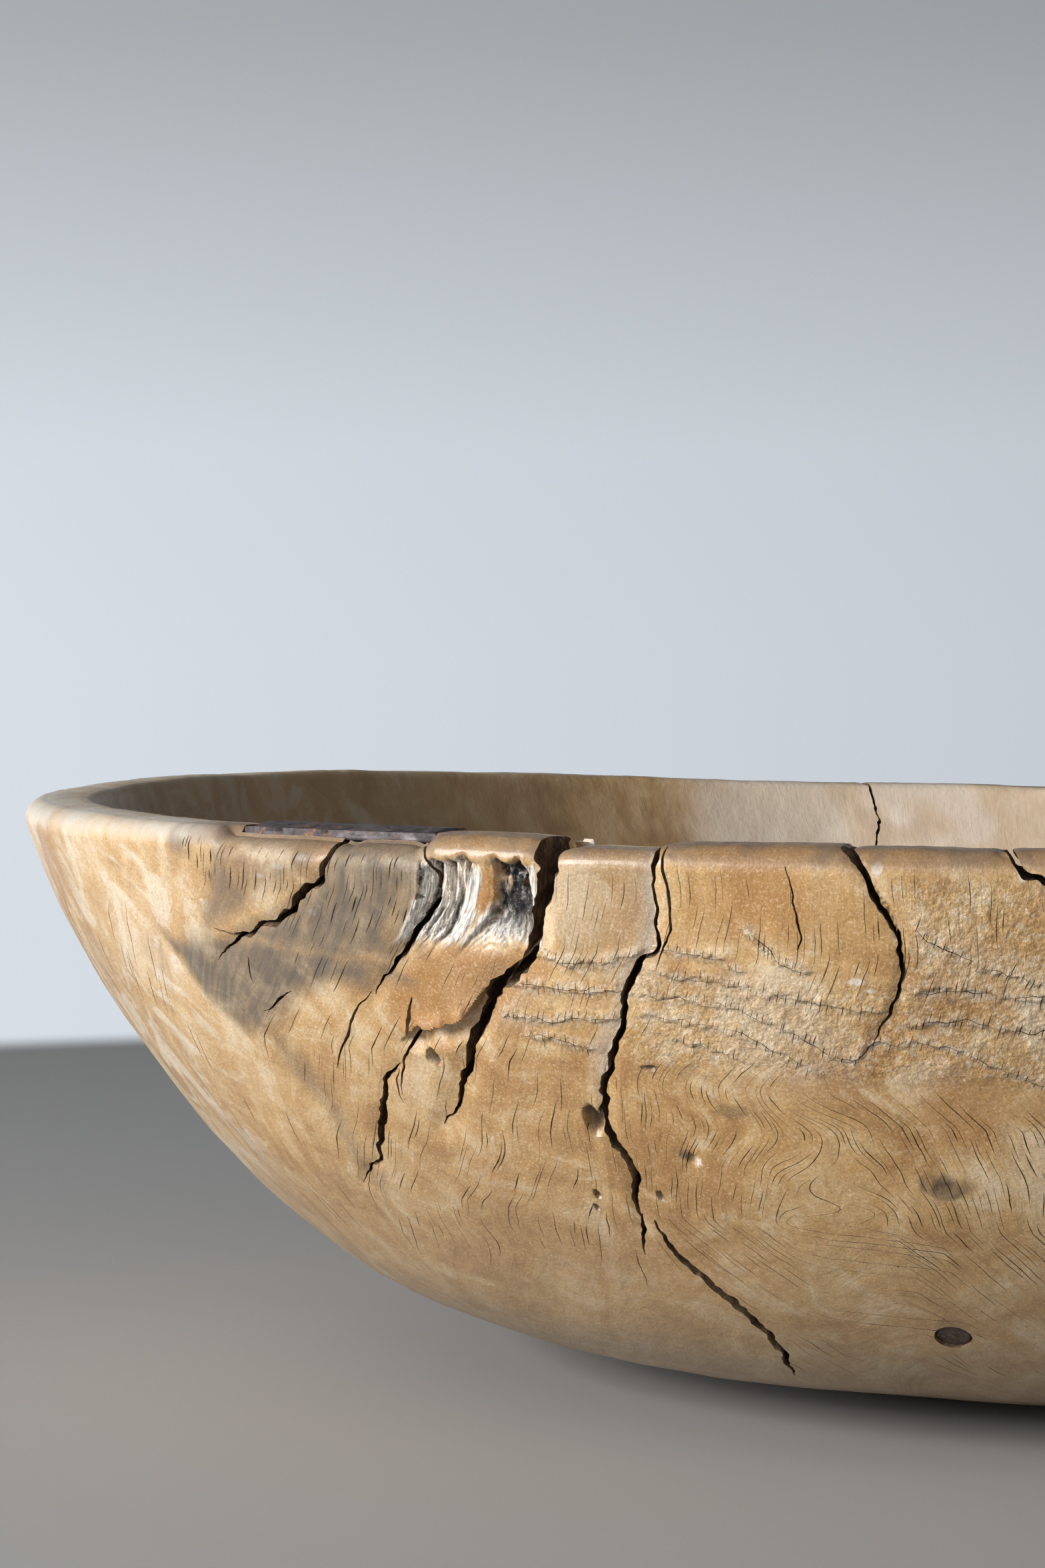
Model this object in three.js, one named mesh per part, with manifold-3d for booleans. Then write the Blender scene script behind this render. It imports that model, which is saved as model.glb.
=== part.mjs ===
// A large dugout bowl, carved from one piece of burr wood and split by old drying cracks,
// with an iron strap nailed across two of the cracks in its rim and one dead knot in its wall.
// Millimetres, +Z up. The origin is the centre of the flat that the bowl rests on.
// -Y is the mended side. A place on the wall is given by its bearing, in degrees clockwise
// from -Y as seen from above, and by its drop, in mm along the outer wall down from the rim.

import * as THREE from 'three';
import { mergeVertices } from 'three/addons/utils/BufferGeometryUtils.js';
import Module from 'manifold-3d';

const wasm = await Module();
wasm.setup();

// ---- driving dimensions -------------------------------------------------------------------

const RIM_RADIUS = 300;          // mean radius of the rim's outer edge
const OVAL = 0.02;               // the plan is this much longer along X and shorter along Y
const RIM_HEIGHT = 158;          // rim above the table, on the mended side
const FOOT_RADIUS = 70;          // the worn flat underneath
const WALL_AT_RIM = 20;
const WALL_AT_FOOT = 27;
const RIM_EDGE_RADIUS = 5;       // rounding of the rim's outer and inner edges
const SEGMENTS = 72;             // facets round the bowl
const GAP = 0.3;                 // clearance between neighbouring pieces

// Outer profile, from the edge of the foot to the rim, as [radius, height].
const OUTER_PROFILE = [
  [FOOT_RADIUS, 0], [129, 4.7], [157, 9.5], [181, 16], [212, 32],
  [246, 63], [271, 95], [290, 127], [RIM_RADIUS, RIM_HEIGHT],
];

// The rim isn't level: it rises and dips where the wood has moved, as [direction, width, rise].
// Directions are in degrees anticlockwise from +X.
const RIM_SWELLS = [[152, 30, 5.6], [198, 30, 2.6], [85, 35, -3], [15, 40, 2], [242, 30, 1]];

// Cracks. Each route is a list of [bearing, drop]; width is the widest opening, and depth is
// how far the crack runs into the wall, where THROUGH reaches the inside.
const THROUGH = 48;
const ABOVE_RIM = -14;
const CRACKS = [
  { width: 3.0, depth: THROUGH, route: [
    [35.5, ABOVE_RIM], [36.2, 2], [37.8, 12], [40.5, 22], [45, 30], [48.4, 38]] },
  { width: 2.0, depth: 20, route: [
    [31.3, ABOVE_RIM], [30.8, 6], [30.7, 15], [33.5, 30], [36.6, 43]] },
  { width: 4.2, depth: THROUGH, route: [
    [24.0, ABOVE_RIM], [24.4, 6], [25.2, 20], [27.6, 35], [30.5, 50], [34, 73], [36.2, 83]] },
  { width: 3.2, depth: 14, route: [
    [34.6, 48], [35.5, 57], [37, 64], [39.5, 72], [42, 87], [44, 99], [47.2, 109]] },
  { width: 3.0, depth: THROUGH, route: [
    [18.7, ABOVE_RIM], [19, 8], [19.3, 20], [21.3, 38], [23.4, 57], [24.8, 76], [24.6, 94], [25.2, 112]] },
  { width: 2.6, depth: 12, route: [
    [25.2, 106], [24.4, 120], [22.4, 138], [20.9, 158], [22, 182]] },
  { width: 2.2, depth: THROUGH, route: [
    [10.4, ABOVE_RIM], [9.8, 2], [8.3, 14], [7.7, 28], [8.2, 42], [9.5, 52]] },
  { width: 2.2, depth: THROUGH, route: [
    [3.3, ABOVE_RIM], [3.0, 1], [0.8, 9], [-1.8, 20], [-3, 34]] },
  { width: 3.4, depth: THROUGH, route: [
    [-31, ABOVE_RIM], [-31.6, 8], [-30, 24], [-32.5, 44], [-35, 66], [-34, 84]] },
  { width: 2.4, depth: 14, route: [
    [-58, ABOVE_RIM], [-57.5, 10], [-60, 26], [-59, 45]] },
  { width: 3.0, depth: THROUGH, route: [
    [-101, ABOVE_RIM], [-100.5, 8], [-103, 26], [-102, 48], [-106, 72]] },
  { width: 2.2, depth: 14, route: [
    [-142, ABOVE_RIM], [-141, 12], [-143.5, 30], [-142, 52]] },
  { width: 2.4, depth: THROUGH, route: [
    [164.6, ABOVE_RIM], [164.4, 8], [164.8, 26], [163.6, 46], [164.6, 68]] },
  { width: 2.4, depth: 14, route: [
    [121, ABOVE_RIM], [121.6, 10], [119.5, 28], [120.5, 50]] },
];
const CRACK_JAG = 0.5;           // how far a crack zigzags to each side of its route
const HAIRLINE = 0.15;           // half the width that a crack keeps at its ends

// The rotted hollow below the rim between the second and third cracks.
const HOLLOW = { bearing: 28.2, drop: 13, across: 7.5, tall: 15, deep: 5 };

// The iron strap, let into the top of the rim.
const STRAP = { from: 31.3, to: 44.4, inner: 280, outer: 293.5, thick: 3.6, sunk: 2.6, bevel: 0.6 };

// Square forged nails that hold the strap. Their heads are let into it.
const NAIL = {
  bearings: [34.6, 41.6], radius: 286.7, shank: 2.6, point: 1.2, length: 19,
  head: 5.2, headThick: 1.5, below: 0.1,
};

// The dead knot, a tapered plug standing across the wall.
const KNOT = { bearing: 7.8, drop: 152, radius: 4.3, tip: 3.2, tall: 1.12, length: 13, recessed: 0.4 };

// ---- materials ----------------------------------------------------------------------------

const wood = () => new THREE.MeshStandardMaterial({ color: 0xb98a52, roughness: 0.5, metalness: 0 });
const iron = () => new THREE.MeshStandardMaterial({ color: 0x4b454a, roughness: 0.6, metalness: 0.9 });
const deadWood = () => new THREE.MeshStandardMaterial({ color: 0x46301f, roughness: 0.45, metalness: 0 });

// ---- the wall's shape ---------------------------------------------------------------------

const degrees = THREE.MathUtils.degToRad;
const outerCurve = new THREE.SplineCurve(OUTER_PROFILE.map(([r, z]) => new THREE.Vector2(r, z)));
const wallLength = outerCurve.getLength();

function rimScale(angle) {
  let height = RIM_HEIGHT;
  for (const [centre, width, rise] of RIM_SWELLS) {
    const away = THREE.MathUtils.euclideanModulo(THREE.MathUtils.radToDeg(angle) - centre + 180, 360) - 180;
    height += rise * Math.exp(-((away / width) ** 2));
  }
  return height / RIM_HEIGHT;
}

// Puts a point of the round, level bowl where it is on the oval, warped one.
function warp(point) {
  const angle = Math.atan2(point.y, point.x);
  const stretch = 1 + OVAL * Math.cos(2 * angle);
  return point.set(point.x * stretch, point.y * stretch, point.z * rimScale(angle));
}

const bearingAngle = (bearing) => degrees(270 - bearing);

function onWall(bearing, drop) {
  const along = THREE.MathUtils.clamp(1 - drop / wallLength, 0, 1);
  const { x: r, y: z } = outerCurve.getPointAt(along);
  const angle = bearingAngle(bearing);
  const above = Math.max(-drop, 0);
  return warp(new THREE.Vector3(r * Math.cos(angle), r * Math.sin(angle), z + above));
}

// A frame on the wall at a place: x runs along the rim, y up the wall and z straight out of it.
function wallFrame(bearing, drop) {
  const step = 2;
  const origin = onWall(bearing, drop);
  const up = onWall(bearing, drop - step).sub(onWall(bearing, drop + step)).normalize();
  const side = onWall(bearing - 1, drop).sub(onWall(bearing + 1, drop)).normalize();
  const out = new THREE.Vector3().crossVectors(side, up).normalize();
  const across = new THREE.Vector3().crossVectors(up, out);
  return new THREE.Matrix4().makeBasis(across, up, out).setPosition(origin);
}

// ---- solids -------------------------------------------------------------------------------

function toSolid(geometry) {
  const bare = geometry.clone();
  bare.deleteAttribute('normal');
  bare.deleteAttribute('uv');
  const merged = mergeVertices(bare, 1e-4);
  const index = [];
  for (let i = 0; i < merged.index.count; i += 3) {
    const [a, b, c] = [0, 1, 2].map((k) => merged.index.getX(i + k));
    if (a !== b && b !== c && c !== a) index.push(a, b, c);
  }
  return new wasm.Manifold(new wasm.Mesh({
    numProp: 3,
    vertProperties: new Float32Array(merged.attributes.position.array),
    triVerts: new Uint32Array(index),
  }));
}

function toGeometry(solid) {
  const mesh = solid.getMesh();
  const geometry = new THREE.BufferGeometry();
  geometry.setAttribute('position', new THREE.BufferAttribute(new Float32Array(mesh.vertProperties), 3));
  geometry.setIndex(new THREE.BufferAttribute(new Uint32Array(mesh.triVerts), 1));
  geometry.computeVertexNormals();
  return geometry;
}

function cut(solid, cutters) {
  return cutters.reduce((rest, cutter) => rest.subtract(toSolid(cutter)), solid);
}

function arc(centreX, centreZ, radius, start, end) {
  const steps = 3;
  return Array.from({ length: steps + 1 }, (_, i) => {
    const angle = THREE.MathUtils.lerp(start, end, i / steps);
    return new THREE.Vector2(centreX + radius * Math.cos(angle), centreZ + radius * Math.sin(angle));
  });
}

// The inner wall is the outer one moved in by the wall's thickness.
function innerPoint(along) {
  const point = outerCurve.getPointAt(along);
  const tangent = outerCurve.getTangentAt(along);
  const thick = THREE.MathUtils.lerp(WALL_AT_FOOT, WALL_AT_RIM, along);
  return new THREE.Vector2(point.x - tangent.y * thick, point.y + tangent.x * thick);
}

// The bowl before it cracked: outer wall, rounded rim and inner wall, turned and then warped.
function bowlBlank() {
  const steps = 13;
  const edgeZ = RIM_HEIGHT - RIM_EDGE_RADIUS;
  const stations = Array.from({ length: steps + 1 }, (_, i) => i / steps);
  const outside = stations.map((along) => outerCurve.getPointAt(along)).filter(({ y }) => y < edgeZ - 1);
  const inside = stations.map(innerPoint).filter(({ y }) => y < edgeZ - RIM_EDGE_RADIUS);
  const profile = [
    new THREE.Vector2(0, 0),
    ...outside,
    ...arc(RIM_RADIUS - RIM_EDGE_RADIUS, edgeZ, RIM_EDGE_RADIUS, 0, Math.PI / 2),
    ...arc(RIM_RADIUS - WALL_AT_RIM + RIM_EDGE_RADIUS, edgeZ, RIM_EDGE_RADIUS, Math.PI / 2, Math.PI * 0.9),
    ...inside.reverse(),
    new THREE.Vector2(0, WALL_AT_FOOT),
  ];
  const blank = new THREE.LatheGeometry(profile, SEGMENTS);
  blank.rotateX(Math.PI / 2);
  const position = blank.attributes.position;
  const point = new THREE.Vector3();
  for (let i = 0; i < position.count; i += 1) {
    warp(point.fromBufferAttribute(position, i));
    position.setXYZ(i, point.x, point.y, point.z);
  }
  return toSolid(blank);
}

// A jagged blade the shape of one crack, standing across the wall.
function crackBlade({ route, width, depth }) {
  const outside = 16;
  const frame = wallFrame(...route[Math.floor(route.length / 2)]);
  const inverse = frame.clone().invert();
  const line = new THREE.SplineCurve(route.map(([bearing, drop]) => {
    const { x, y } = onWall(bearing, drop).applyMatrix4(inverse);
    return new THREE.Vector2(x, y);
  }));
  const fromRim = route[0][1] < 0;
  const steps = 2 * (route.length - 1);
  const left = [];
  const right = [];
  for (let i = 0; i <= steps; i += 1) {
    const along = i / steps;
    const tangent = line.getTangent(along);
    const normal = new THREE.Vector2(-tangent.y, tangent.x);
    const open = fromRim ? 1 - along ** 3 : Math.sin(Math.PI * along) ** 0.6;
    const half = HAIRLINE + (width / 2) * open;
    const wander = CRACK_JAG * (i % 2 ? 1 : -1);
    left.push(line.getPoint(along).addScaledVector(normal, wander + half));
    right.push(line.getPoint(along).addScaledVector(normal, wander - half));
  }
  const shape = new THREE.Shape([...left, ...right.reverse()]);
  const blade = new THREE.ExtrudeGeometry(shape, { depth: depth + outside, bevelEnabled: false });
  return blade.translate(0, 0, -depth).applyMatrix4(frame);
}

function hollowScoop() {
  const scoop = new THREE.SphereGeometry(1, 16, 10);
  scoop.scale(HOLLOW.across, HOLLOW.tall, HOLLOW.deep);
  return scoop.applyMatrix4(wallFrame(HOLLOW.bearing, HOLLOW.drop));
}

// ---- the strap and its nails --------------------------------------------------------------

const STRAP_MIDDLE = bearingAngle(0.5 * (STRAP.from + STRAP.to));
const STRAP_BASE = RIM_HEIGHT * rimScale(STRAP_MIDDLE) - STRAP.sunk;

function strapPlate(grow, height, bevel) {
  const half = 0.5 * degrees(STRAP.to - STRAP.from) + (grow - bevel) / STRAP.inner;
  const outline = new THREE.Shape();
  outline.absarc(0, 0, STRAP.outer + grow - bevel, STRAP_MIDDLE - half, STRAP_MIDDLE + half, false);
  outline.absarc(0, 0, STRAP.inner - grow + bevel, STRAP_MIDDLE + half, STRAP_MIDDLE - half, true);
  const plate = new THREE.ExtrudeGeometry(outline, {
    depth: height - 2 * bevel, bevelEnabled: bevel > 0, bevelThickness: bevel, bevelSize: bevel,
    bevelSegments: 1, curveSegments: 8,
  });
  return plate.translate(0, 0, STRAP_BASE + bevel);
}

// The strap follows the oval rim, which is nearly a plain turn of the round one there.
function followOval(geometry) {
  const position = geometry.attributes.position;
  const point = new THREE.Vector3();
  for (let i = 0; i < position.count; i += 1) {
    const { z } = point.fromBufferAttribute(position, i);
    warp(point.setZ(0));
    position.setXYZ(i, point.x, point.y, z);
  }
  return geometry;
}

// grow widens the nail into its hole, which also runs on up past the strap.
function nailBody(bearing, grow) {
  const corner = Math.SQRT1_2;
  const intoHead = 0.2;
  const length = NAIL.length + grow;
  const angle = bearingAngle(bearing);
  const radius = NAIL.radius * (1 + OVAL * Math.cos(2 * angle));
  const top = STRAP_BASE + STRAP.thick - NAIL.below;
  const place = new THREE.Matrix4().makeRotationZ(angle);
  place.setPosition(radius * Math.cos(angle), radius * Math.sin(angle), top);
  const stood = (geometry, middle) => {
    return toSolid(geometry.rotateX(Math.PI / 2).translate(0, 0, middle).applyMatrix4(place));
  };
  const shank = new THREE.CylinderGeometry(
    (NAIL.shank + 2 * grow) * corner, (NAIL.point + 2 * grow) * corner, length, 4, 1, false, Math.PI / 4);
  const head = new THREE.CylinderGeometry(NAIL.head / 2 + grow, NAIL.shank / 2 + grow, NAIL.headThick, 8);
  const nail = stood(shank, -intoHead - length / 2).add(stood(head, -NAIL.headThick / 2));
  if (grow === 0) return nail;
  const above = 2;
  const mouth = new THREE.CylinderGeometry(NAIL.head / 2 + grow, NAIL.head / 2 + grow, above, 8);
  const overlap = 0.01;
  return nail.add(stood(mouth, above / 2 - overlap));
}

// ---- the knot -----------------------------------------------------------------------------

// grow widens the plug into its socket, which also runs on past the wall's face.
function knotPlug(grow) {
  const beyond = grow > 0 ? KNOT.recessed + 4 : -KNOT.recessed;
  const taper = (KNOT.radius - KNOT.tip) / KNOT.length;
  const top = KNOT.radius + grow + taper * beyond;
  const bottom = KNOT.tip + grow - taper * grow;
  const length = KNOT.length + grow + beyond;
  const plug = new THREE.CylinderGeometry(top, bottom, length, 14);
  plug.scale(1, 1, KNOT.tall).rotateX(Math.PI / 2).translate(0, 0, beyond - length / 2);
  return plug.applyMatrix4(wallFrame(KNOT.bearing, KNOT.drop));
}

// ---- assembly -----------------------------------------------------------------------------

const bowl = new THREE.Group();

function addPiece(name, solid, material) {
  const mesh = new THREE.Mesh(toGeometry(solid), material);
  mesh.name = name;
  bowl.add(mesh);
}

const nailHoles = NAIL.bearings.map((bearing) => nailBody(bearing, GAP));
const aboveSeat = 6;
const strapSeat = followOval(strapPlate(GAP, STRAP.sunk + aboveSeat, 0)).translate(0, 0, -GAP);

let body = cut(bowlBlank(), [...CRACKS.map(crackBlade), hollowScoop(), strapSeat, knotPlug(GAP)]);
let strap = toSolid(followOval(strapPlate(0, STRAP.thick, STRAP.bevel)));
for (const hole of nailHoles) {
  body = body.subtract(hole);
  strap = strap.subtract(hole);
}

addPiece('bowl_body', body, wood());
addPiece('rim_strap', strap, iron());
NAIL.bearings.forEach((bearing, i) => addPiece(`strap_nail_${i + 1}`, nailBody(bearing, 0), iron()));
addPiece('knot_plug', toSolid(knotPlug(0)), deadWood());

export default bowl;
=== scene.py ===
"""A cracked dugout bowl of burr wood with an iron strap in its rim, dressed for a studio picture.

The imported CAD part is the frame: every visible piece here stands for one of its nodes, in the same
place. Lengths are millimetres until a mesh is made. A place on the wall is a bearing, in degrees
clockwise from -Y as seen from above, and a drop, in mm down the outer wall from the rim.
"""

import math

import bmesh
import bpy
import numpy as np
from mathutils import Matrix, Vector


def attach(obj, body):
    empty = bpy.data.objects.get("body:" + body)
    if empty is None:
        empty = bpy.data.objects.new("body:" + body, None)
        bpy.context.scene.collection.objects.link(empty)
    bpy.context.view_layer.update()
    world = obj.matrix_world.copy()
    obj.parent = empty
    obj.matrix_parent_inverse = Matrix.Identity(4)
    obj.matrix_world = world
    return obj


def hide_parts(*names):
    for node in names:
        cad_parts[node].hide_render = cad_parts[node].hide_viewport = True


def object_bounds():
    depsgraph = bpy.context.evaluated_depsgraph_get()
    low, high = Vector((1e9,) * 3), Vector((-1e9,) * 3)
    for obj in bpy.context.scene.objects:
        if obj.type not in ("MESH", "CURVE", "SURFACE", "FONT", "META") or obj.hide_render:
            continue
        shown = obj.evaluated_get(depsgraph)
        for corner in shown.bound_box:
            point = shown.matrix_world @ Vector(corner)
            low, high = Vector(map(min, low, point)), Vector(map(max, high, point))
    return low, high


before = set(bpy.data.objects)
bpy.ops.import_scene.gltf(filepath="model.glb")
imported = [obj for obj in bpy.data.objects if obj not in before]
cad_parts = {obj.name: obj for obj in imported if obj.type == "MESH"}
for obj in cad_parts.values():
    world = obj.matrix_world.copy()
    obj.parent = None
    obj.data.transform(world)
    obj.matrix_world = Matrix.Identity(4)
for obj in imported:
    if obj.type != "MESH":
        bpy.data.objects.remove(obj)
cad_low, cad_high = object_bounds()

MM = 0.001

# ---- driving dimensions, as in the CAD part ------------------------------------------------------

RIM_RADIUS = 300.0
OVAL = 0.02
RIM_HEIGHT = 158.0
FOOT_RADIUS = 70.0
WALL_AT_RIM = 20.0
WALL_AT_FOOT = 27.0
OUTER_EDGE = 5.0        # rounding of the rim's outer edge
INNER_EDGE = 4.0
RIM_CROWN = 0.3         # how far the middle of the rim's top stands above its edges
GAP = 0.3               # play all round a piece that is let in
TOP_FLARE = 1.9         # the wall runs this much wider, so that the rounded rim is RIM_RADIUS wide

OUTER_PROFILE = np.array([
    [FOOT_RADIUS, 0], [129, 4.7], [157, 9.5], [181, 16], [212, 32],
    [246, 63], [271, 95], [290, 127], [RIM_RADIUS + TOP_FLARE, RIM_HEIGHT],
], float)
# Where the rim stands higher: direction and half width in degrees, and rise in mm.
RIM_SWELLS = [[152, 30, 5.6], [198, 30, 2.6], [85, 35, -3], [15, 40, 2], [242, 30, 1]]

STRAP = {"from": 31.3, "to": 44.4, "inner": 280.0, "outer": 293.5, "thick": 3.6, "sunk": 2.6}
NAILS = {"bearings": [34.6, 41.6], "radius": 286.7, "shank": 2.6, "point": 1.2, "overall": 19.2,
         "head": 5.2, "head_thick": 1.5, "below": 0.1}
KNOT = {"bearing": 7.8, "drop": 152.0, "radius": 4.3, "tip": 3.2, "tall": 1.12, "length": 13.0,
        "recessed": 0.4}


# ---- noise ---------------------------------------------------------------------------------------

def scrambled(h):
    """A fixed number in -1..1 for each whole number."""
    h = (h ^ (h >> 13)) * 1274126177 & 0x7FFFFFFF
    h = (h ^ (h >> 15)) * 668265263 & 0x7FFFFFFF
    return ((h >> 8) & 0xFFFF) / 32767.5 - 1.0


def noise(x, y, z, seed):
    """Smooth noise in -1..1, one wave or so to a unit."""
    keys, weights = [], []
    for value, prime in zip(np.broadcast_arrays(x, y, z), (73856093, 19349663, 83492791)):
        cell = np.floor(value)
        part = value - cell
        part = part * part * (3 - 2 * part)
        key = cell.astype(np.int64) * prime
        keys.append((key, key + prime))
        weights.append((1 - part, part))
    total = 0.0
    for i in (0, 1):
        for j in (0, 1):
            key, weight = keys[0][i] ^ keys[1][j] ^ seed * 40503, weights[0][i] * weights[1][j]
            for k in (0, 1):
                total = total + weight * weights[2][k] * scrambled(key ^ keys[2][k])
    return total


def layered(x, y, z, seed, octaves=3):
    """Noise with finer and fainter noise added."""
    total = 0.0
    for k in range(octaves):
        total = total + noise(x * 2 ** k, y * 2 ** k, z * 2 ** k, seed + k) / 2 ** k
    return total / 1.6


def ease(low, high, value):
    """0 below low and 1 above high, with a smooth step between."""
    t = np.clip((value - low) / (high - low), 0, 1)
    return t * t * (3 - 2 * t)


def between(value, low, high, soft):
    """1 from low to high and 0 outside, with soft edges."""
    return ease(low - soft, low + soft, value) * (1 - ease(high - soft, high + soft, value))


# ---- the wall's shape ----------------------------------------------------------------------------

def through(points, t):
    """A smooth curve through the points; t runs from 0 to 1."""
    points = np.asarray(points, float)
    last = len(points) - 1
    u = np.clip(t, 0, 1) * last
    i = np.minimum(u.astype(int), last - 1)
    w = (u - i)[:, None]
    p0, p1 = points[np.maximum(i - 1, 0)], points[i]
    p2, p3 = points[i + 1], points[np.minimum(i + 2, last)]
    v1, v2 = 0.5 * (p2 - p0), 0.5 * (p3 - p1)
    return (2 * p1 - 2 * p2 + v1 + v2) * w ** 3 + (3 * p2 - 3 * p1 - 2 * v1 - v2) * w ** 2 + v1 * w + p1


def run_length(points):
    """How far along a line each of its points is."""
    return np.concatenate([[0], np.cumsum(np.hypot(*np.diff(points[:, :2], axis=0).T))])


wall_points = through(OUTER_PROFILE, np.linspace(0, 1, 3001))
wall_run = run_length(wall_points)
WALL = wall_run[-1]
wall_drop = WALL - wall_run
wall_slope = np.gradient(wall_points, wall_run, axis=0)
wall_slope /= np.hypot(wall_slope[:, 0], wall_slope[:, 1])[:, None]


def on_table(drop, column):
    """A column of the wall's table at a drop."""
    return np.interp(drop, wall_drop[::-1], column[::-1])


def wall_radius(drop):
    """The outer wall's radius at a drop."""
    return on_table(drop, wall_points[:, 0])


def wall_frame_2d(drop):
    """Radius and height on the outer wall, and the slope up the wall there."""
    drop = np.asarray(drop, float)
    held = np.clip(drop, 0, WALL)
    above = np.maximum(-drop, 0)
    r = on_table(held, wall_points[:, 0])
    z = on_table(held, wall_points[:, 1]) + above
    return r, z, on_table(held, wall_slope[:, 0]), on_table(held, wall_slope[:, 1])


def rim_scale(angle):
    """How many times its plain height the bowl has in a direction."""
    height = RIM_HEIGHT
    for centre, width, rise in RIM_SWELLS:
        away = (np.degrees(angle) - centre + 180) % 360 - 180
        height = height + rise * np.exp(-((away / width) ** 2))
    return height / RIM_HEIGHT


def oval_stretch(angle):
    """How many times its round radius the oval bowl has in a direction."""
    return 1 + OVAL * np.cos(2 * angle)


def warp(points):
    """Puts points of the round, level bowl where they are on the oval, warped one."""
    angle = np.arctan2(points[..., 1], points[..., 0])
    stretch = oval_stretch(angle)
    return points * np.stack([stretch, stretch, rim_scale(angle)], -1)


def bearing_angle(bearing):
    """A bearing as an angle in radians, counterclockwise from +X."""
    return np.radians(270 - np.asarray(bearing, float))


STRAP_MIDDLE = float(bearing_angle(0.5 * (STRAP["from"] + STRAP["to"])))
STRAP_BASE = RIM_HEIGHT * float(rim_scale(STRAP_MIDDLE)) - STRAP["sunk"]
STRAP_TOP = STRAP_BASE + STRAP["thick"]


def wall_frame(bearing, drop):
    """Places on the wall with their directions: left along the rim, up the wall and straight out."""
    angle = bearing_angle(bearing)
    r, z, slope_r, slope_z = wall_frame_2d(drop)
    c, s = np.cos(angle), np.sin(angle)
    nought = np.zeros_like(c * r)
    origin = warp(np.stack([r * c, r * s, z + nought], -1))
    left = np.stack([s + nought, -c + nought, nought], -1)
    up = np.stack([slope_r * c, slope_r * s, slope_z + nought], -1)
    out = np.stack([slope_z * c, slope_z * s, -slope_r + nought], -1)
    return origin, left, up, out


def bowl_section():
    """The whole section, from the middle underneath over the rim to the middle inside.

    Returns radius, height and q, which is the drop on the outer wall and runs on below nought over
    the rim and down the inside.
    """
    normal = np.stack([wall_slope[:, 1], -wall_slope[:, 0]], -1)
    edge_top = RIM_HEIGHT - RIM_CROWN
    outer_start = np.searchsorted(wall_points[:, 1] - normal[:, 1] * OUTER_EDGE, edge_top - OUTER_EDGE)
    outer_centre = wall_points[outer_start] - normal[outer_start] * OUTER_EDGE
    lean = math.atan2(normal[outer_start, 1], normal[outer_start, 0])
    turn = np.linspace(lean, math.pi / 2, 24)
    outer_arc = outer_centre + OUTER_EDGE * np.stack([np.cos(turn), np.sin(turn)], -1)

    thick = WALL_AT_FOOT + (WALL_AT_RIM - WALL_AT_FOOT) * wall_run / WALL
    inner = wall_points - normal * thick[:, None]
    inner_start = np.searchsorted(inner[:, 1] + normal[:, 1] * INNER_EDGE, edge_top - INNER_EDGE)
    inner_centre = inner[inner_start] + normal[inner_start] * INNER_EDGE
    turn = np.linspace(math.pi / 2, math.pi + lean, 20)
    inner_arc = inner_centre + INNER_EDGE * np.stack([np.cos(turn), np.sin(turn)], -1)

    across = np.linspace(0, 1, 16)[1:-1]
    top = np.stack([
        outer_centre[0] + (inner_centre[0] - outer_centre[0]) * across,
        edge_top + RIM_CROWN * 4 * across * (1 - across),
    ], -1)
    under = np.stack([np.linspace(0, FOOT_RADIUS, 20)[:-1], np.zeros(19)], -1)
    floor = np.stack([np.linspace(inner[0, 0], 0, 24)[1:], np.full(23, WALL_AT_FOOT)], -1)
    points = np.concatenate([
        under, wall_points[:outer_start], outer_arc, top, inner_arc, inner[:inner_start][::-1], floor,
    ])
    return points, WALL + FOOT_RADIUS - run_length(points)


section, section_q = bowl_section()
section_slope = np.gradient(section, -section_q, axis=0)
section_slope /= np.maximum(np.hypot(section_slope[:, 0], section_slope[:, 1]), 1e-9)[:, None]


# ---- the grain -----------------------------------------------------------------------------------

# The grain's fan over the bearings, how far it has opened over the drops, and the grain's bends in mm
# over the drops in the left and right parts of the front.
FAN = [[-12, 0], [0, 0], [8, 0.05], [22, 0.32], [30, 0.6], [40, 0.9], [48, 1.1], [62, 0.7], [80, 0]]
FAN_RUN = [[0, 0], [15, 8], [60, 50], [110, 72], [160, 76]]
LEFT_BEND = [[0, 0], [28, 0], [60, 12], [108, 13], [160, -14], [220, -26]]
RIGHT_BEND = [[0, 0], [28, 0], [58, 9], [74, -2], [88, -5], [108, -8], [160, -38], [220, -56]]


def table(rows, value):
    """Looks a value up in rows of [value, result]."""
    rows = np.array(rows, float)
    return np.interp(value, rows[:, 0], rows[:, 1])


def sway(bearing, drop):
    """How far to the left the grain has swung, in mm, on its way down from the rim."""
    bearing, drop = np.broadcast_arrays(np.asarray(bearing, float), np.asarray(drop, float))
    angle = bearing_angle(bearing)
    x, y = RIM_RADIUS * np.cos(angle), RIM_RADIUS * np.sin(angle)
    fan = table(FAN, bearing) * table(FAN_RUN, drop)
    left_part = between(bearing, 13, 25, 3.5)
    right_part = between(bearing, -22, 13, 3.5)
    bend = left_part * table(LEFT_BEND, drop) + right_part * table(RIGHT_BEND, drop)
    away = 1 - between(bearing, -8, 60, 8)
    drift = 16 * away * noise(x / 90, y / 90, drop / 120, 3)
    burr = between(bearing, -6, 24, 3) * between(drop, 58, 112, 8)
    waves = (1.2 + 2.4 * burr) * noise(x / 46, y / 46, drop / 13, 5)
    waves += 0.6 * noise(x / 14, y / 14, drop / 9, 6)
    return fan + bend + drift + waves


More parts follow.
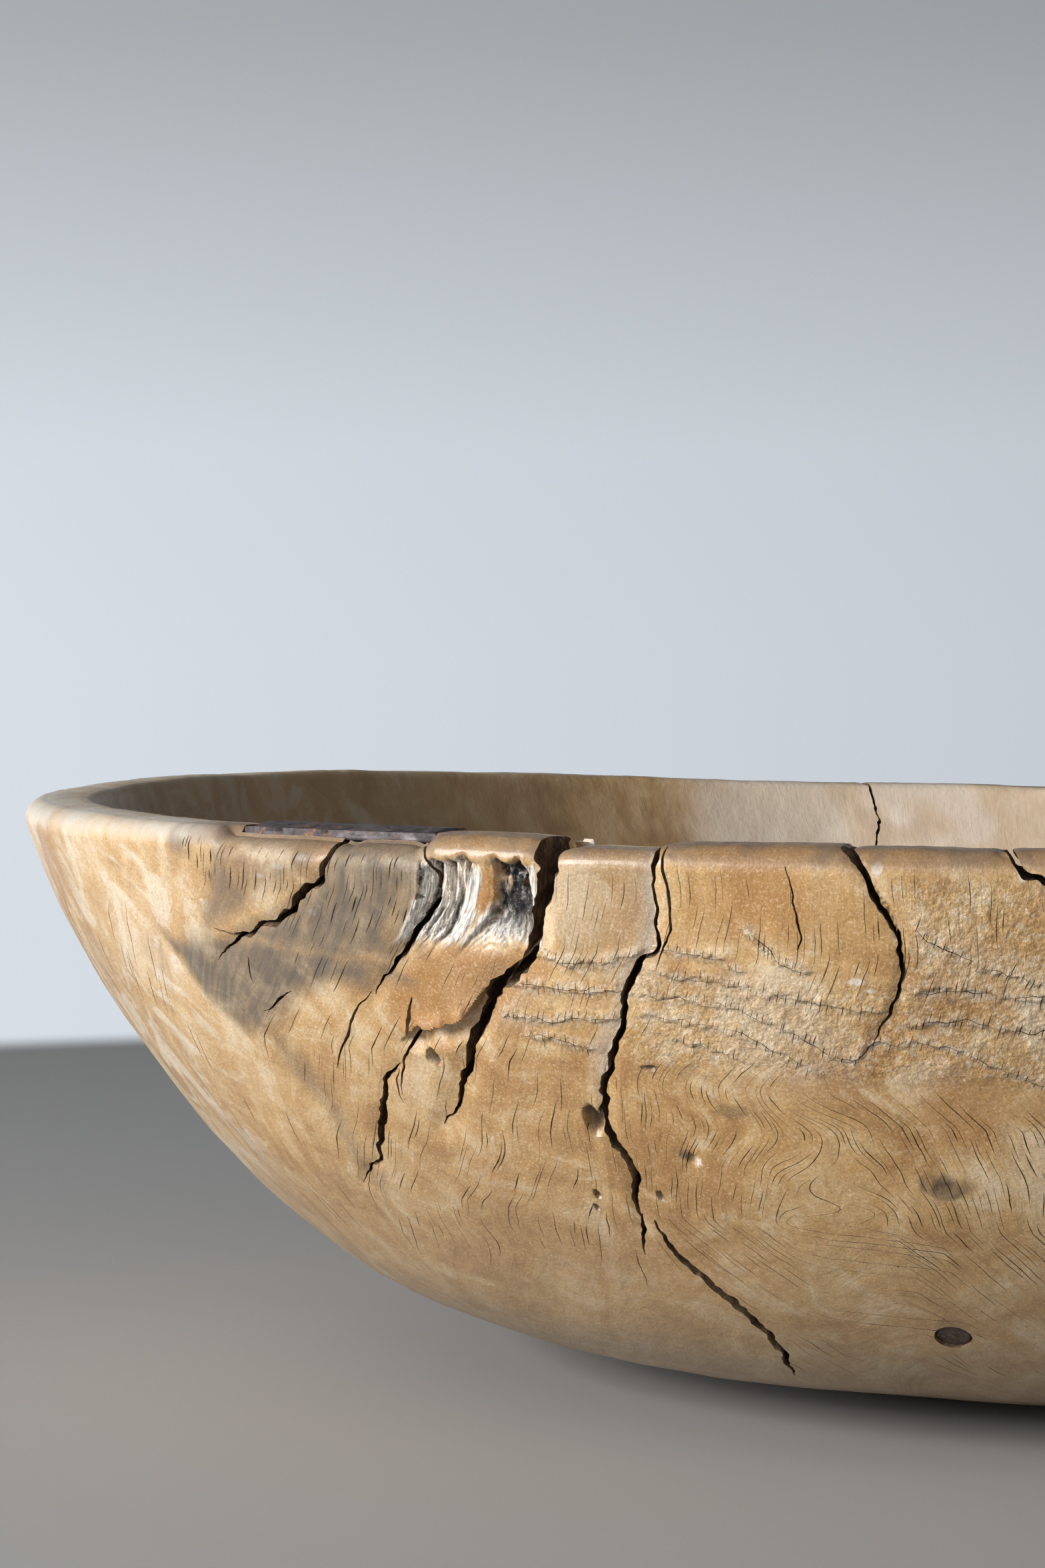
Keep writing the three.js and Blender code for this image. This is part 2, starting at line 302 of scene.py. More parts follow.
def along_grain(bearing, drop, length, step=1.5):
    """A line down the wall that follows the grain from a place."""
    drops = drop + np.arange(0, length + step, step)
    radius = wall_radius(drops)
    start = bearing - math.degrees(float(sway(bearing, drop)) / float(wall_radius(drop)))
    bearings = np.full(len(drops), float(bearing))
    for _ in range(8):
        bearings = start + np.degrees(sway(bearings, drops) / radius)
    return np.stack([bearings, drops], -1)


# ---- cracks --------------------------------------------------------------------------------------

THROUGH = 34.0          # a crack this deep goes right through the wall
ABOVE = -16.0           # the drop at which cracks start, well over the rim

# Each crack: depth, how its walls lean (mm to the left for each mm in), and its route as
# [bearing, drop, width].
CRACKS = [
    [THROUGH, 0.06, [[35.4, ABOVE, 4.4], [36, 0, 4.0], [36.5, 4, 2.2], [36.9, 7.5, 1.5], [37.8, 12, 2.2],
                     [39.5, 18, 2.3], [40.5, 22, 2.1], [43, 26, 1.6], [45, 30, 1.3], [47, 34, 0.7],
                     [48.6, 38.5, 0.2]]],
    [16, 0.3, [[32.0, ABOVE, 3.8], [31.7, 1, 3.2], [31.0, 4.5, 1.0], [30.8, 7, 0.7], [30.6, 12, 0.6],
               [30.9, 18, 0.9], [31.5, 22, 1.6], [33.5, 30, 1.4], [35.2, 37, 0.9], [36.7, 43.5, 0.2]]],
    [THROUGH, 0.12, [[23.9, ABOVE, 8.2], [24.1, 0, 7.0], [24.5, 8, 5.2], [25, 16, 4.0], [25.6, 24, 3.4],
                     [26.3, 30, 3.4], [27.8, 36, 4.0], [29.2, 42, 3.6], [30.5, 50, 3.0], [31.5, 57, 2.6],
                     [32.5, 64, 2.2], [34, 73, 1.5], [35.2, 80, 0.8], [36.3, 84, 0.2]]],
    [12, 0.2, [[37.0, 64.5, 0.3], [38.6, 69, 1.4], [39.8, 75, 2.0], [40.5, 80, 2.6], [41.8, 87, 2.4],
               [43, 93, 2.0], [43.8, 99, 1.3], [46, 104, 0.7], [47.4, 109.5, 0.2]]],
    [THROUGH, 0.1, [[18.5, ABOVE, 3.4], [18.9, 0, 2.4], [19.1, 10, 1.2], [19.2, 20, 1.0], [19.6, 27, 1.2],
                    [21.2, 36, 2.1], [21.7, 44, 1.5], [23.3, 56, 1.9], [23.7, 62, 1.8], [24.5, 70, 2.1],
                    [24.9, 78, 2.6], [24.7, 88, 2.4], [24.6, 94, 2.7], [25, 102, 1.8], [25.5, 113, 0.3]]],
    [THROUGH, 0.26, [[10.6, ABOVE, 2.6], [10.1, 0, 2.1], [9.2, 7, 1.7], [8.3, 14, 1.4], [7.9, 20, 1.2],
                     [7.7, 28, 1.2], [8, 36, 1.0], [8.3, 42, 0.9], [9.2, 47, 0.5], [9.5, 51, 0.2]]],
    [THROUGH, 0.26, [[3.3, ABOVE, 2.4], [3.1, 0, 2.0], [1.3, 7.4, 1.8], [-0.5, 13.5, 1.4], [-1.4, 20, 1.1],
                     [-2, 26, 0.8], [-3, 35, 0.2]]],
    [THROUGH, 0.1, [[-31, ABOVE, 4.2], [-31.6, 8, 3.6], [-30, 24, 3.0], [-32.5, 44, 2.6],
                    [-35, 66, 1.8], [-34, 85, 0.2]]],
    [14, 0.1, [[-58, ABOVE, 2.8], [-57.5, 10, 2.2], [-60, 26, 1.6], [-59, 46, 0.2]]],
    [THROUGH, -0.1, [[-101, ABOVE, 3.6], [-100.5, 8, 3.0], [-103, 26, 2.6], [-102, 48, 2.0],
                      [-106, 73, 0.2]]],
    [14, 0.1, [[-142, ABOVE, 2.6], [-141, 12, 2.2], [-143.5, 30, 1.5], [-142, 53, 0.2]]],
    [THROUGH, 0.1, [[164.6, ABOVE, 2.2], [164.4, 8, 2.0], [164.8, 26, 1.6], [163.6, 46, 1.2],
                    [164.6, 68, 0.2]]],
    [14, -0.1, [[121, ABOVE, 2.8], [121.6, 10, 2.4], [119.5, 28, 1.6], [120.5, 51, 0.2]]],
]

# Splits that join or run beside the cracks above.
SIDE_CRACKS = [
    [13, 0.1, [[24.6, 110, 0.5], [24.3, 120, 1.9], [23.5, 128, 2.5], [22.3, 138, 2.8], [21.3, 148, 2.5],
               [20.9, 158, 2.6], [21, 168, 2.3], [21.6, 176, 1.6], [22.4, 186, 0.3]]],
    [6, 0.1, [[25.1, 108, 0.4], [25.7, 115, 1.3], [26.4, 124, 0.2]]],
    [7, 0.0, [[34.1, 43, 0.4], [34.6, 49, 1.5], [35.2, 55, 1.1], [36.2, 60, 0.8], [37.2, 66, 0.8],
              [38.2, 74, 0.2]]],
    [6, 0.0, [[44.6, 29, 1.0], [46, 29.6, 0.8], [47.6, 29.4, 0.2]]],
    [5, 0.0, [[18.55, 1, 0.5], [18.4, 8, 0.8], [18.45, 17, 0.7], [18.75, 24.5, 0.6], [19.6, 32, 0.2]]],
    [4, 0.0, [[45.6, 36, 0.3], [45.8, 39, 0.8], [46, 44, 0.2]]],
    [4, 0.0, [[43, 44.5, 0.2], [44.5, 48, 0.7], [46.4, 52, 0.2]]],
    [5, 0.0, [[36.8, 43, 0.2], [37.9, 47, 0.5], [39.4, 53, 0.8], [40.8, 60, 0.7], [42.3, 68, 0.2]]],
    [4, 0.0, [[37.4, 66, 0.2], [37.9, 70, 0.6], [38.4, 77, 0.2]]],
    [4, 0.0, [[12.7, 5, 0.2], [12.4, 14, 0.5], [12.3, 22, 0.5], [12.5, 26, 0.2]]],
]


def distance_to_route(bearing, drop, route):
    """Distance in mm from places on the wall to a route, and which side of it they are on."""
    radius = wall_radius(drop)
    x, y = np.radians(bearing) * radius, drop
    best, side = np.full(x.shape, 1e9), np.zeros(x.shape)
    for (b0, d0), (b1, d1) in zip(route[:-1, :2], route[1:, :2]):
        x0, x1 = math.radians(b0) * radius, math.radians(b1) * radius
        dx, dy = x1 - x0, d1 - d0
        t = np.clip(((x - x0) * dx + (y - d0) * dy) / (dx * dx + dy * dy + 1e-9), 0, 1)
        away_x, away_y = x - x0 - t * dx, y - d0 - t * dy
        away = np.hypot(away_x, away_y)
        nearer = away < best
        best = np.where(nearer, away, best)
        side = np.where(nearer, np.sign(away_x * dy - away_y * dx), side)
    return best, side


def volume(points, quads):
    """Six times the volume of a closed shape, below nought if its faces look inwards."""
    a, b, c, d = (points[quads[:, k]] for k in range(4))
    def six(p, q, r):
        return np.einsum("ij,ij->i", p, np.cross(q, r)).sum()
    return six(a, b, c) + six(a, c, d)


def outward(points, quads):
    """Turns the faces of a closed shape to look outwards."""
    return quads if volume(points, quads) > 0 else quads[:, [1, 0, 3, 2]]


def loft(rings):
    """A closed solid through rings of points; rings is stations x ring x 3, and the ends are capped."""
    stations, count, _ = rings.shape
    grid = np.arange(stations * count).reshape(stations, count)
    side = np.stack([
        grid[:-1], np.roll(grid, -1, 1)[:-1], np.roll(grid, -1, 1)[1:], grid[1:]], -1).reshape(-1, 4)
    half = count // 2
    caps = []
    for ring, turned in ((grid[0], False), (grid[-1], True)):
        strip = np.stack([
            ring[:half - 1], ring[::-1][:half - 1], ring[::-1][1:half], ring[1:half]], -1)
        caps.append(strip[:, ::-1] if turned else strip)
    points = rings.reshape(-1, 3)
    quads = np.concatenate([side, *caps])
    return points, outward(points, quads)


def unrolled(line, radius=RIM_RADIUS):
    """Places on the wall laid out flat, as mm along the rim and down the wall."""
    return np.stack([np.radians(line[:, 0]) * radius, line[:, 1]], -1)


def blade(route, depth, lean, jag, step, levels, seed):
    """A jagged blade the shape of one crack, standing across the wall."""
    route = np.asarray(route, float)
    flat = unrolled(route, wall_radius(np.maximum(route[:, 1], 0)))
    count = max(int(run_length(flat)[-1] / step), 4)
    t = np.linspace(0, 1, count * 4)
    place = t * (len(route) - 1)
    corner = np.stack([np.interp(place, np.arange(len(route)), column) for column in route.T], -1)
    line = 0.45 * through(route, t) + 0.55 * corner
    flat = unrolled(line, wall_radius(np.maximum(line[:, 1], 0)))
    run = run_length(flat)
    even = np.linspace(0, run[-1], count)
    line = np.stack([np.interp(even, run, line[:, k]) for k in range(3)], -1)
    flat = np.stack([np.interp(even, run, flat[:, k]) for k in range(2)], -1)
    slope = np.gradient(flat, even, axis=0)
    slope /= np.hypot(slope[:, 0], slope[:, 1])[:, None]

    origin, left, up, out = wall_frame(line[:, 0], line[:, 1])
    across = slope[:, 1:] * left + slope[:, :1] * up
    inside = np.asarray(levels, float)
    deep = np.maximum(inside, 0)
    s = even[:, None]
    wide = line[:, 2:]
    ends = 1 - 0.85 * (deep / depth) ** 2 if depth < THROUGH else 1 - 0.45 * deep / depth
    zigzag = jag * (0.45 * noise(s / 1.5, seed, 0, 11) + 1.7 * noise(s / 6, seed, 0, 12))
    wander = zigzag * np.minimum(1, 0.3 + wide) + lean * deep + jag * noise(s / 3, deep / 5, seed, 13)
    half_left = 0.5 * wide * ends * (1 + 0.3 * noise(s / 1.7, deep / 3, seed, 14))
    half_right = 0.5 * wide * ends * (1 + 0.3 * noise(s / 1.7, deep / 3, seed, 15))
    def side(offset):
        return origin[:, None] + across[:, None] * offset[..., None] - out[:, None] * inside[None, :, None]
    rings = np.concatenate([side(wander + half_left), side(wander - half_right)[:, ::-1]], 1)
    return loft(rings)


def joined(parts):
    """Several solids as one list of points and one of faces."""
    points, quads, start = [], [], 0
    for p, q in parts:
        points.append(p)
        quads.append(q + start)
        start += len(p)
    return np.concatenate(points), np.concatenate(quads)


def levels_to(depth, count):
    """Depths of a blade's rows, closer together near the surface, with three outside the wall."""
    return np.concatenate([[-7, -2.5, -0.8], np.linspace(0, 1, count) ** 1.4 * depth])


# ---- marks on the wall ---------------------------------------------------------------------------

# Wavy raised lines where the grain is crazed, as [bearing, drop].
RIDGES = [
    [[20.4, 39.5], [18, 40], [16, 42], [14, 46], [12.5, 50], [11.6, 54], [10.6, 55], [9.5, 50], [7, 49.5],
     [5, 52], [3, 57], [1.5, 60], [-2, 58], [-6, 60]],
    [[26, 30], [24, 31.5], [22, 30.5], [20.6, 29]],
    [[27.6, 37.5], [25, 39], [23, 38], [21.6, 38.5]],
    [[28.4, 46], [26, 47.5], [24, 46], [22.4, 46.5]],
    [[19.6, 33.5], [17, 34.5], [14, 37.5], [11, 40], [9, 41]],
    [[20.8, 45], [18.5, 46.5], [16, 49], [14.5, 53], [12.8, 58]],
    [[7.6, 44.5], [5, 43], [2, 45.5], [-2, 45]],
    [[7.4, 36], [5, 34.5], [3, 36.5], [0, 36]],
    [[7.0, 19], [6.1, 24], [5.2, 25], [4.1, 29], [3.0, 30], [1.8, 33], [-1, 34]],
    [[14.9, 21], [13.6, 28], [12.4, 31]],
    [[18.8, 27], [16.4, 29], [15.5, 32]],
    [[19.8, 51], [17.5, 54], [16, 56]],
    [[27.4, 52], [25.8, 53], [24.4, 55]],
]
RIDGE_WIDTH = 2.2

# How each block of the rim has moved: the cracks, by number, to its left and right, and its rise and
# how far it is set out.
BLOCKS = [[0, 1, 0.0, 0.1], [1, 2, 0.4, 0.2], [2, 4, -0.5, -0.5], [4, 5, -0.1, 0.4], [5, 6, 0.1, -0.3]]
BLOCK_REACH = 46.0      # how far down the wall the blocks' movement fades out, in mm
WORN_BEFORE_STRAP = 2.5 # how much lower the wood in front of the strap is


def flute_line(bearing, drop):
    """Runs across the flutes of the rotted hollow, which bend to the left as they go down."""
    down = np.clip((drop - 6) / 22, 0, 1.3)
    return bearing - (0.5 + 2.0 * ease(26.6, 29, bearing)) * down ** 2


# The rotted hollow across its flutes, in degrees: its depth in mm, and where its parts lie.
HOLLOW_DEPTH = [[25.15, 0], [25.55, 2.2], [26.0, 3.6], [26.5, 4.2], [26.9, 4.0], [27.15, 3.4], [27.35, 1.3],
                [27.7, 0.9], [28.1, 1.1], [28.4, 1.8], [28.75, 3.0], [29.1, 2.2], [29.5, 3.8], [29.9, 2.6],
                [30.4, 3.8], [31.0, 2.0], [31.4, 0]]
ORANGE_COLUMN = (27.3, 28.1)
BONE_COLUMN = (28.05, 28.75)
HOLLOW_ENDS = (25.15, 31.4)


def hollow(bearing, drop, fine):
    """The rotted hollow: its depth, the line across its flutes, how far a place is in it, and the flutes,
    which run from -1 on a crest to 1 in a groove."""
    line = flute_line(bearing, drop) + 0.14 * fine + 0.1 * noise(bearing * 2, drop / 5, 0, 32)
    top = 5.2 + 1.4 * noise(bearing * 1.7, 0, 0, 33)
    window = ease(0, 3.4, drop - top + 0.8 * fine) * (1 - ease(20, 33, drop))
    crests = noise(line * 3.1, 0, drop / 20, 28)
    flutes = 1 - 2.4 * np.abs(crests) + 0.9 * noise(line * 8, 0, drop / 9, 34)
    return table(HOLLOW_DEPTH, line) * window, line, window, np.clip(-flutes, -1, 1)


# The lip under the hollow, as [bearing, drop].
LOBED_LIP = [[30.4, 44.6], [31.0, 47.5], [31.9, 49.8], [32.8, 50.2], [33.4, 51.6], [34.2, 50.8], [35, 53.2]]


def near_line(bearing, drop, rows, reach):
    """Distance to a line of places, worked out only near it, and the side."""
    route = np.array([row[:2] for row in rows], float)
    margin = reach / 2.5
    near = (bearing > route[:, 0].min() - margin) & (bearing < route[:, 0].max() + margin)
    near &= (drop > route[:, 1].min() - reach) & (drop < route[:, 1].max() + reach)
    away, side = np.full(bearing.shape, 1e3), np.zeros(bearing.shape)
    if near.any():
        away[near], side[near] = distance_to_route(bearing[near], drop[near], route)
    return away, side


def spot(bearing, drop, centre_bearing, centre_drop, wide, tall):
    """1 at the middle of an oval mark and 0 at its edge, over which it runs on below nought."""
    x = np.radians(bearing - centre_bearing) * wall_radius(drop) / wide
    y = (drop - centre_drop) / tall
    return 1 - np.hypot(x, y)


# Burnt-looking pits near the top of the hollow: bearing, drop and half width and height in mm.
PITS = [(26.95, 9.0, 2.0, 2.6), (26.0, 8.6, 2.6, 3.4), (25.9, 13.5, 1.8, 3.0)]
PIT_DEPTH = 2.8

# Chips out of the wall: bearing, drop, half width and height in mm, depth.
CHIPS = [
    (25.6, 77, 3.0, 5.0, 3.0), (21.3, 60, 2.4, 0.9, 1.2), (20.5, 88, 1.5, 1.9, 1.1),
    (27.5, 102, 1.0, 1.6, 1.6), (31.7, 15.4, 0.7, 0.7, 3.5), (28, 107, 0.7, 1.0, 1.2),
    (23.4, 101, 1.0, 1.6, 1.4), (6.7, 93, 3.0, 2.0, 0.5), (34.4, 61, 2.2, 2.8, 2.6),
]


def crack_bearing(number, drop):
    """The bearing of a crack that runs down from the rim."""
    rows = np.array(CRACKS[number][2])
    return np.interp(drop, rows[:, 1], rows[:, 0])


def crazed_band(bearing, drop):
    """Where the surface is pimply: a band below the rim and a wider patch on the right."""
    band = between(bearing, -12, 22, 1.5) * between(drop, 33, 60, 4)
    return np.maximum(band, between(bearing, -12, 7.5, 1.2) * between(drop, 8, 58, 4))


def relief(bearing, q, angle, r, z):
    """How far the worn surface stands out of the plain one, and how far the rim has risen, in mm."""
    x, y = r * np.cos(angle), r * np.sin(angle)
    outside = q > -8
    drop = np.clip(q, 0, WALL)
    out = 0.75 * noise(x / 46, y / 46, z / 46, 21) + 0.32 * noise(x / 17, y / 17, z / 17, 22)
    out += 0.1 * layered(x / 6, y / 6, z / 6, 23)

    # raised grain
    shift = np.degrees(sway(bearing, drop) / wall_radius(drop))
    turned = bearing_angle(bearing - shift)
    gx, gy = RIM_RADIUS * np.cos(turned), RIM_RADIUS * np.sin(turned)
    grain = noise(gx / 2.6, gy / 2.6, q / 26, 24)
    out += 0.07 * grain * ease(-60, 0, q) * (1 - 0.5 * ease(150, 220, q))

    # the crazed, pimply band
    wavy = 1.2 * noise(x / 4, y / 4, drop / 9, 25) + 1.1 * noise(x / 1.5, y / 1.5, drop / 9, 38)
    for rows in RIDGES:
        away, side = near_line(bearing, drop + wavy, rows, 8)
        out += 0.3 * np.exp(-(away / RIDGE_WIDTH) ** 2) * outside
        out -= 0.5 * ease(0.05, 0.6, side * away) * np.exp(-(away / 3.4) ** 2) * outside
    band = crazed_band(bearing, drop)
    pimples = ease(0.1, 0.7, noise(x / 2.0, y / 2.0, z / 2.4, 26))
    out += 0.26 * band * (pimples - 0.3) * outside

    # cracks have worn lips
    for _, _, rows in CRACKS:
        away, _ = near_line(bearing, drop, rows, 10)
        wide = max(row[2] for row in rows)
        out -= (0.12 * wide + 0.15) * np.exp(-(away / (0.6 + 0.4 * wide)) ** 2) * (q > -16)

    # the rotted hollow
    fine = layered(x / 2.2, y / 2.2, z / 6, 27)
    depth, line, window, flutes = hollow(bearing, drop, fine)
    charred = between(line, 25.4, 27.2, 0.15) * window
    rough = layered(x / 1.4, y / 1.4, z / 4.5, 29)
    fluted = ease(ORANGE_COLUMN[1], 28.9, line) * (1 - ease(31, 31.4, line))
    rotted = depth + window * fluted * (0.3 + 0.9 * flutes) + charred * (0.9 * rough + 0.5 * flutes)
    for centre_bearing, centre_drop, wide, tall in PITS:
        inside = spot(bearing, drop, centre_bearing, centre_drop, wide, tall)
        rotted += PIT_DEPTH * ease(0, 0.8, inside + 0.5 * rough) * (inside > -0.6)
    out -= np.maximum(rotted, 0) * outside

    # the lobed lip, the hollow under it and chips
    away, side = near_line(bearing, drop, LOBED_LIP, 12)
    lobe = ease(-0.3, 0.3, noise(np.radians(bearing) * 75, 0, 0, 35))
    under = (side < 0) * (1 - ease(1, 8, away)) * ease(0, 0.3, away)
    out += (0.7 + 1.1 * lobe) * (side > 0) * np.exp(-(away / 2.6) ** 2) * outside - 3.8 * under * outside
    for centre_bearing, centre_drop, wide, tall, deep in CHIPS:
        inside = spot(bearing, drop, centre_bearing, centre_drop, wide, tall) + 0.25 * fine
        out -= deep * ease(0, 0.5, inside) * outside

    # the rim's blocks have moved a little, and the wood in front of the strap is worn down
    rise, set_out = np.zeros(q.shape), np.zeros(q.shape)
    reach = (1 - ease(8, BLOCK_REACH, drop)) * (1 - ease(30, 70, -q))
    for to_left, to_right, up, forward in BLOCKS:
        within = (bearing > crack_bearing(to_right, q)) & (bearing <= crack_bearing(to_left, q))
        rise += within * up * reach
        set_out += within * forward * reach
    before_strap = between(bearing, STRAP["from"] - 0.3, STRAP["to"] + 0.8, 0.5)
    before_strap = before_strap * ease(-6.5, -2.5, q) * (1 - ease(4, 22, q))
    rise -= WORN_BEFORE_STRAP * before_strap * ease(292.5, 294.5, r)
    return out + set_out, rise


# ---- meshes --------------------------------------------------------------------------------------

def make_object(name, points, quads, materials):
    """A mesh from points in mm; a face whose last two points are the same is a triangle."""
    mesh = bpy.data.meshes.new(name)
    points = np.asarray(points, np.float32) * np.float32(MM)
    mesh.vertices.add(len(points))
    mesh.vertices.foreach_set("co", points.ravel())
    quads = np.asarray(quads, np.int32)
    triangle = quads[:, 2] == quads[:, 3]
    sizes = np.where(triangle, 3, 4)
    keep = np.ones(quads.shape, bool)
    keep[triangle, 3] = False
    loops = quads[keep]
    mesh.loops.add(len(loops))
    mesh.loops.foreach_set("vertex_index", loops.astype(np.int32))
    mesh.polygons.add(len(quads))
    mesh.polygons.foreach_set("loop_start", (np.cumsum(sizes) - sizes).astype(np.int32))
    mesh.polygons.foreach_set("loop_total", sizes.astype(np.int32))
    for material in materials:
        mesh.materials.append(material)
    mesh.update(calc_edges=True)
    mesh.validate()
    obj = bpy.data.objects.new(name, mesh)
    bpy.context.scene.collection.objects.link(obj)
    return obj


def corners(obj):
    """An object's points in mm."""
    co = np.empty(len(obj.data.vertices) * 3, np.float32)
    obj.data.vertices.foreach_get("co", co)
    return co.reshape(-1, 3).astype(float) / MM


def put_attribute(obj, name, values):
    """Stores three numbers on each point for the material to read."""
    layer = obj.data.attributes.new(name, "FLOAT_VECTOR", "POINT")
    layer.data.foreach_set("vector", np.ascontiguousarray(values, np.float32).ravel())


def smooth(obj, degrees):
    """Smooth shading, but for edges sharper than an angle."""
    obj.data.polygons.foreach_set("use_smooth", np.ones(len(obj.data.polygons), bool))
    obj.data.set_sharp_from_angle(angle=math.radians(degrees))


def subtract(obj, points, quads, material):
    """Cuts a closed shape out of an object; the cut faces take the material."""
    cutter = make_object("cutter", points, quads, [material])
    step = obj.modifiers.new("cut", "BOOLEAN")
    step.operation = "DIFFERENCE"
    step.solver = "MANIFOLD"
    step.material_mode = "TRANSFER"
    step.object = cutter
    graph = bpy.context.evaluated_depsgraph_get()
    result = bpy.data.meshes.new_from_object(obj.evaluated_get(graph))
    obj.modifiers.clear()
    old, old_cutter = obj.data, cutter.data
    obj.data = result
    bpy.data.meshes.remove(old)
    bpy.data.objects.remove(cutter)
    bpy.data.meshes.remove(old_cutter)


def drop_crumbs(obj):
    """Deletes the loose crumbs that crossing cuts leave, keeping the one big piece."""
    mesh = obj.data
    ends = np.empty(len(mesh.edges) * 2, np.int32)
    mesh.edges.foreach_get("vertices", ends)
    a, b = ends.reshape(-1, 2).T
    label = np.arange(len(mesh.vertices))
    while (label[a] != label[b]).any():
        np.minimum.at(label, np.maximum(label[a], label[b]), np.minimum(label[a], label[b]))
        while (label != label[label]).any():
            label = label[label]
    crumb = label != np.bincount(label).argmax()
    if crumb.any():
        cleaner = bmesh.new()
        cleaner.from_mesh(mesh)
        cleaner.verts.ensure_lookup_table()
        bmesh.ops.delete(cleaner, geom=[cleaner.verts[k] for k in np.flatnonzero(crumb)], context="VERTS")
        cleaner.to_mesh(mesh)
        cleaner.free()


def steps(*spans):
    """Values from one span after another, each given as (start, stop, step)."""
    runs = [np.arange(start, stop, math.copysign(step, stop - start)) for start, stop, step in spans]
    return np.concatenate(runs + [[spans[-1][1]]])


def bowl_blank():
    """The worn bowl before its cracks are cut, as a fine grid turned about the axis."""
    far = 0.5
    # spans of bearings and of drops, each with its step, finest round the rotted hollow
    bearings = steps((-180, -10, far), (-10, 22.4, 0.15), (22.4, 25, 0.1), (25, 31.5, 0.06), (31.5, 37, 0.1),
                     (37, 75, 0.2), (75, 180 - far, far))
    end_inside = section_q[-1]
    rows = steps((WALL + FOOT_RADIUS - 5, WALL, 5), (WALL, 190, 2), (190, 70, 0.9), (70, 35, 0.5),
                 (35, 4, 0.35), (4, -24, 0.5), (-24, -60, 1.0), (-60, end_inside + 4, 2.2))
    known = -section_q
    r = np.interp(-rows, known, section[:, 0])
    z = np.interp(-rows, known, section[:, 1])
    slope_r = np.interp(-rows, known, section_slope[:, 0])
    slope_z = np.interp(-rows, known, section_slope[:, 1])
    size = np.hypot(slope_r, slope_z)
    slope_r, slope_z = slope_r / size, slope_z / size
    q, b = np.meshgrid(rows, bearings, indexing="ij")
    angle = bearing_angle(b)
    radius, height = r[:, None] + 0 * b, z[:, None] + 0 * b
    out, rise = relief(b, q, angle, radius, height)
    still = ease(0, 9, height) * ease(FOOT_RADIUS, FOOT_RADIUS + 22, radius)
    still = np.where(q < -40, ease(0, 50, radius), still)
    out = out * still
    radius = radius + slope_z[:, None] * out
    height = height - slope_r[:, None] * out + rise
    points = warp(np.stack([radius * np.cos(angle), radius * np.sin(angle), height], -1))
    count_rows, count = q.shape
    grid = np.arange(count_rows * count).reshape(count_rows, count)
    beside = np.roll(grid, -1, 1)
    quads = np.stack([grid[:-1], beside[:-1], beside[1:], grid[1:]], -1).reshape(-1, 4)
    under, within = count_rows * count, count_rows * count + 1
    poles = np.array([[0, 0, 0], [0, 0, WALL_AT_FOOT * rim_scale(0.0)]])
    cap_under = np.stack([grid[0], np.full(count, under), np.roll(grid[0], -1), np.roll(grid[0], -1)], -1)
    cap_within = np.stack([np.roll(grid[-1], -1), np.full(count, within), grid[-1], grid[-1]], -1)
    points = np.concatenate([points.reshape(-1, 3), poles])
    low, high = np.array(cad_low) / MM, np.array(cad_high) / MM
    points = np.clip(points, low, high)
    faces = np.concatenate([quads, cap_under, cap_within])
    return points, outward(points, faces)


# ---- finding places again on the finished wood -----------------------------------------------------

LOOKUP_STEP = 2.0       # size of the lookup tables' cells, in mm


def place_lookup():
    """Tables over radius and height that give the drop of the nearest bit of outer wall, and how deep."""
    above = np.arange(1, 30)[:, None] * wall_slope[-1] + wall_points[-1]
    thin = slice(None, None, 4)
    line = np.concatenate([wall_points[thin], above])
    drops = np.concatenate([wall_drop[thin], -np.arange(1.0, 30)])
    slope = np.concatenate([wall_slope[thin], np.repeat(wall_slope[-1:], 29, 0)])
    r, z = np.meshgrid(np.arange(0, 330, LOOKUP_STEP), np.arange(-6, 190, LOOKUP_STEP), indexing="ij")
    cells = np.stack([r.ravel(), z.ravel()], -1)
    drop, depth = np.empty(len(cells)), np.empty(len(cells))
    for start in range(0, len(cells), 2000):
        part = cells[start:start + 2000]
        away = ((part[:, None] - line[None]) ** 2).sum(-1)
        near = away.argmin(1)
        drop[start:start + 2000] = drops[near]
        offset = part - line[near]
        depth[start:start + 2000] = -(offset[:, 0] * slope[near, 1] - offset[:, 1] * slope[near, 0])
    return drop.reshape(r.shape), depth.reshape(r.shape)


lookup_drop, lookup_depth = place_lookup()


def look_up(values, r, z):
    """A table's value at a radius and height, blended from the four nearest cells."""
    i, j = r / LOOKUP_STEP, (z + 6) / LOOKUP_STEP
    i0 = np.clip(np.floor(i).astype(int), 0, values.shape[0] - 2)
    j0 = np.clip(np.floor(j).astype(int), 0, values.shape[1] - 2)
    u, v = np.clip(i - i0, 0, 1), np.clip(j - j0, 0, 1)
    low = values[i0, j0] * (1 - v) + values[i0, j0 + 1] * v
    high = values[i0 + 1, j0] * (1 - v) + values[i0 + 1, j0 + 1] * v
    return low * (1 - u) + high * u


def places(points):
    """Bearing, drop and depth of points in the wood."""
    angle = np.arctan2(points[:, 1], points[:, 0])
    r = np.hypot(points[:, 0], points[:, 1]) / oval_stretch(angle)
    z = points[:, 2] / rim_scale(angle)
    bearing = (270 - np.degrees(angle) + 180) % 360 - 180
    return bearing, look_up(lookup_drop, r, z), look_up(lookup_depth, r, z)


STRETCH = 11.0          # how much longer the grain's marks are than they are wide

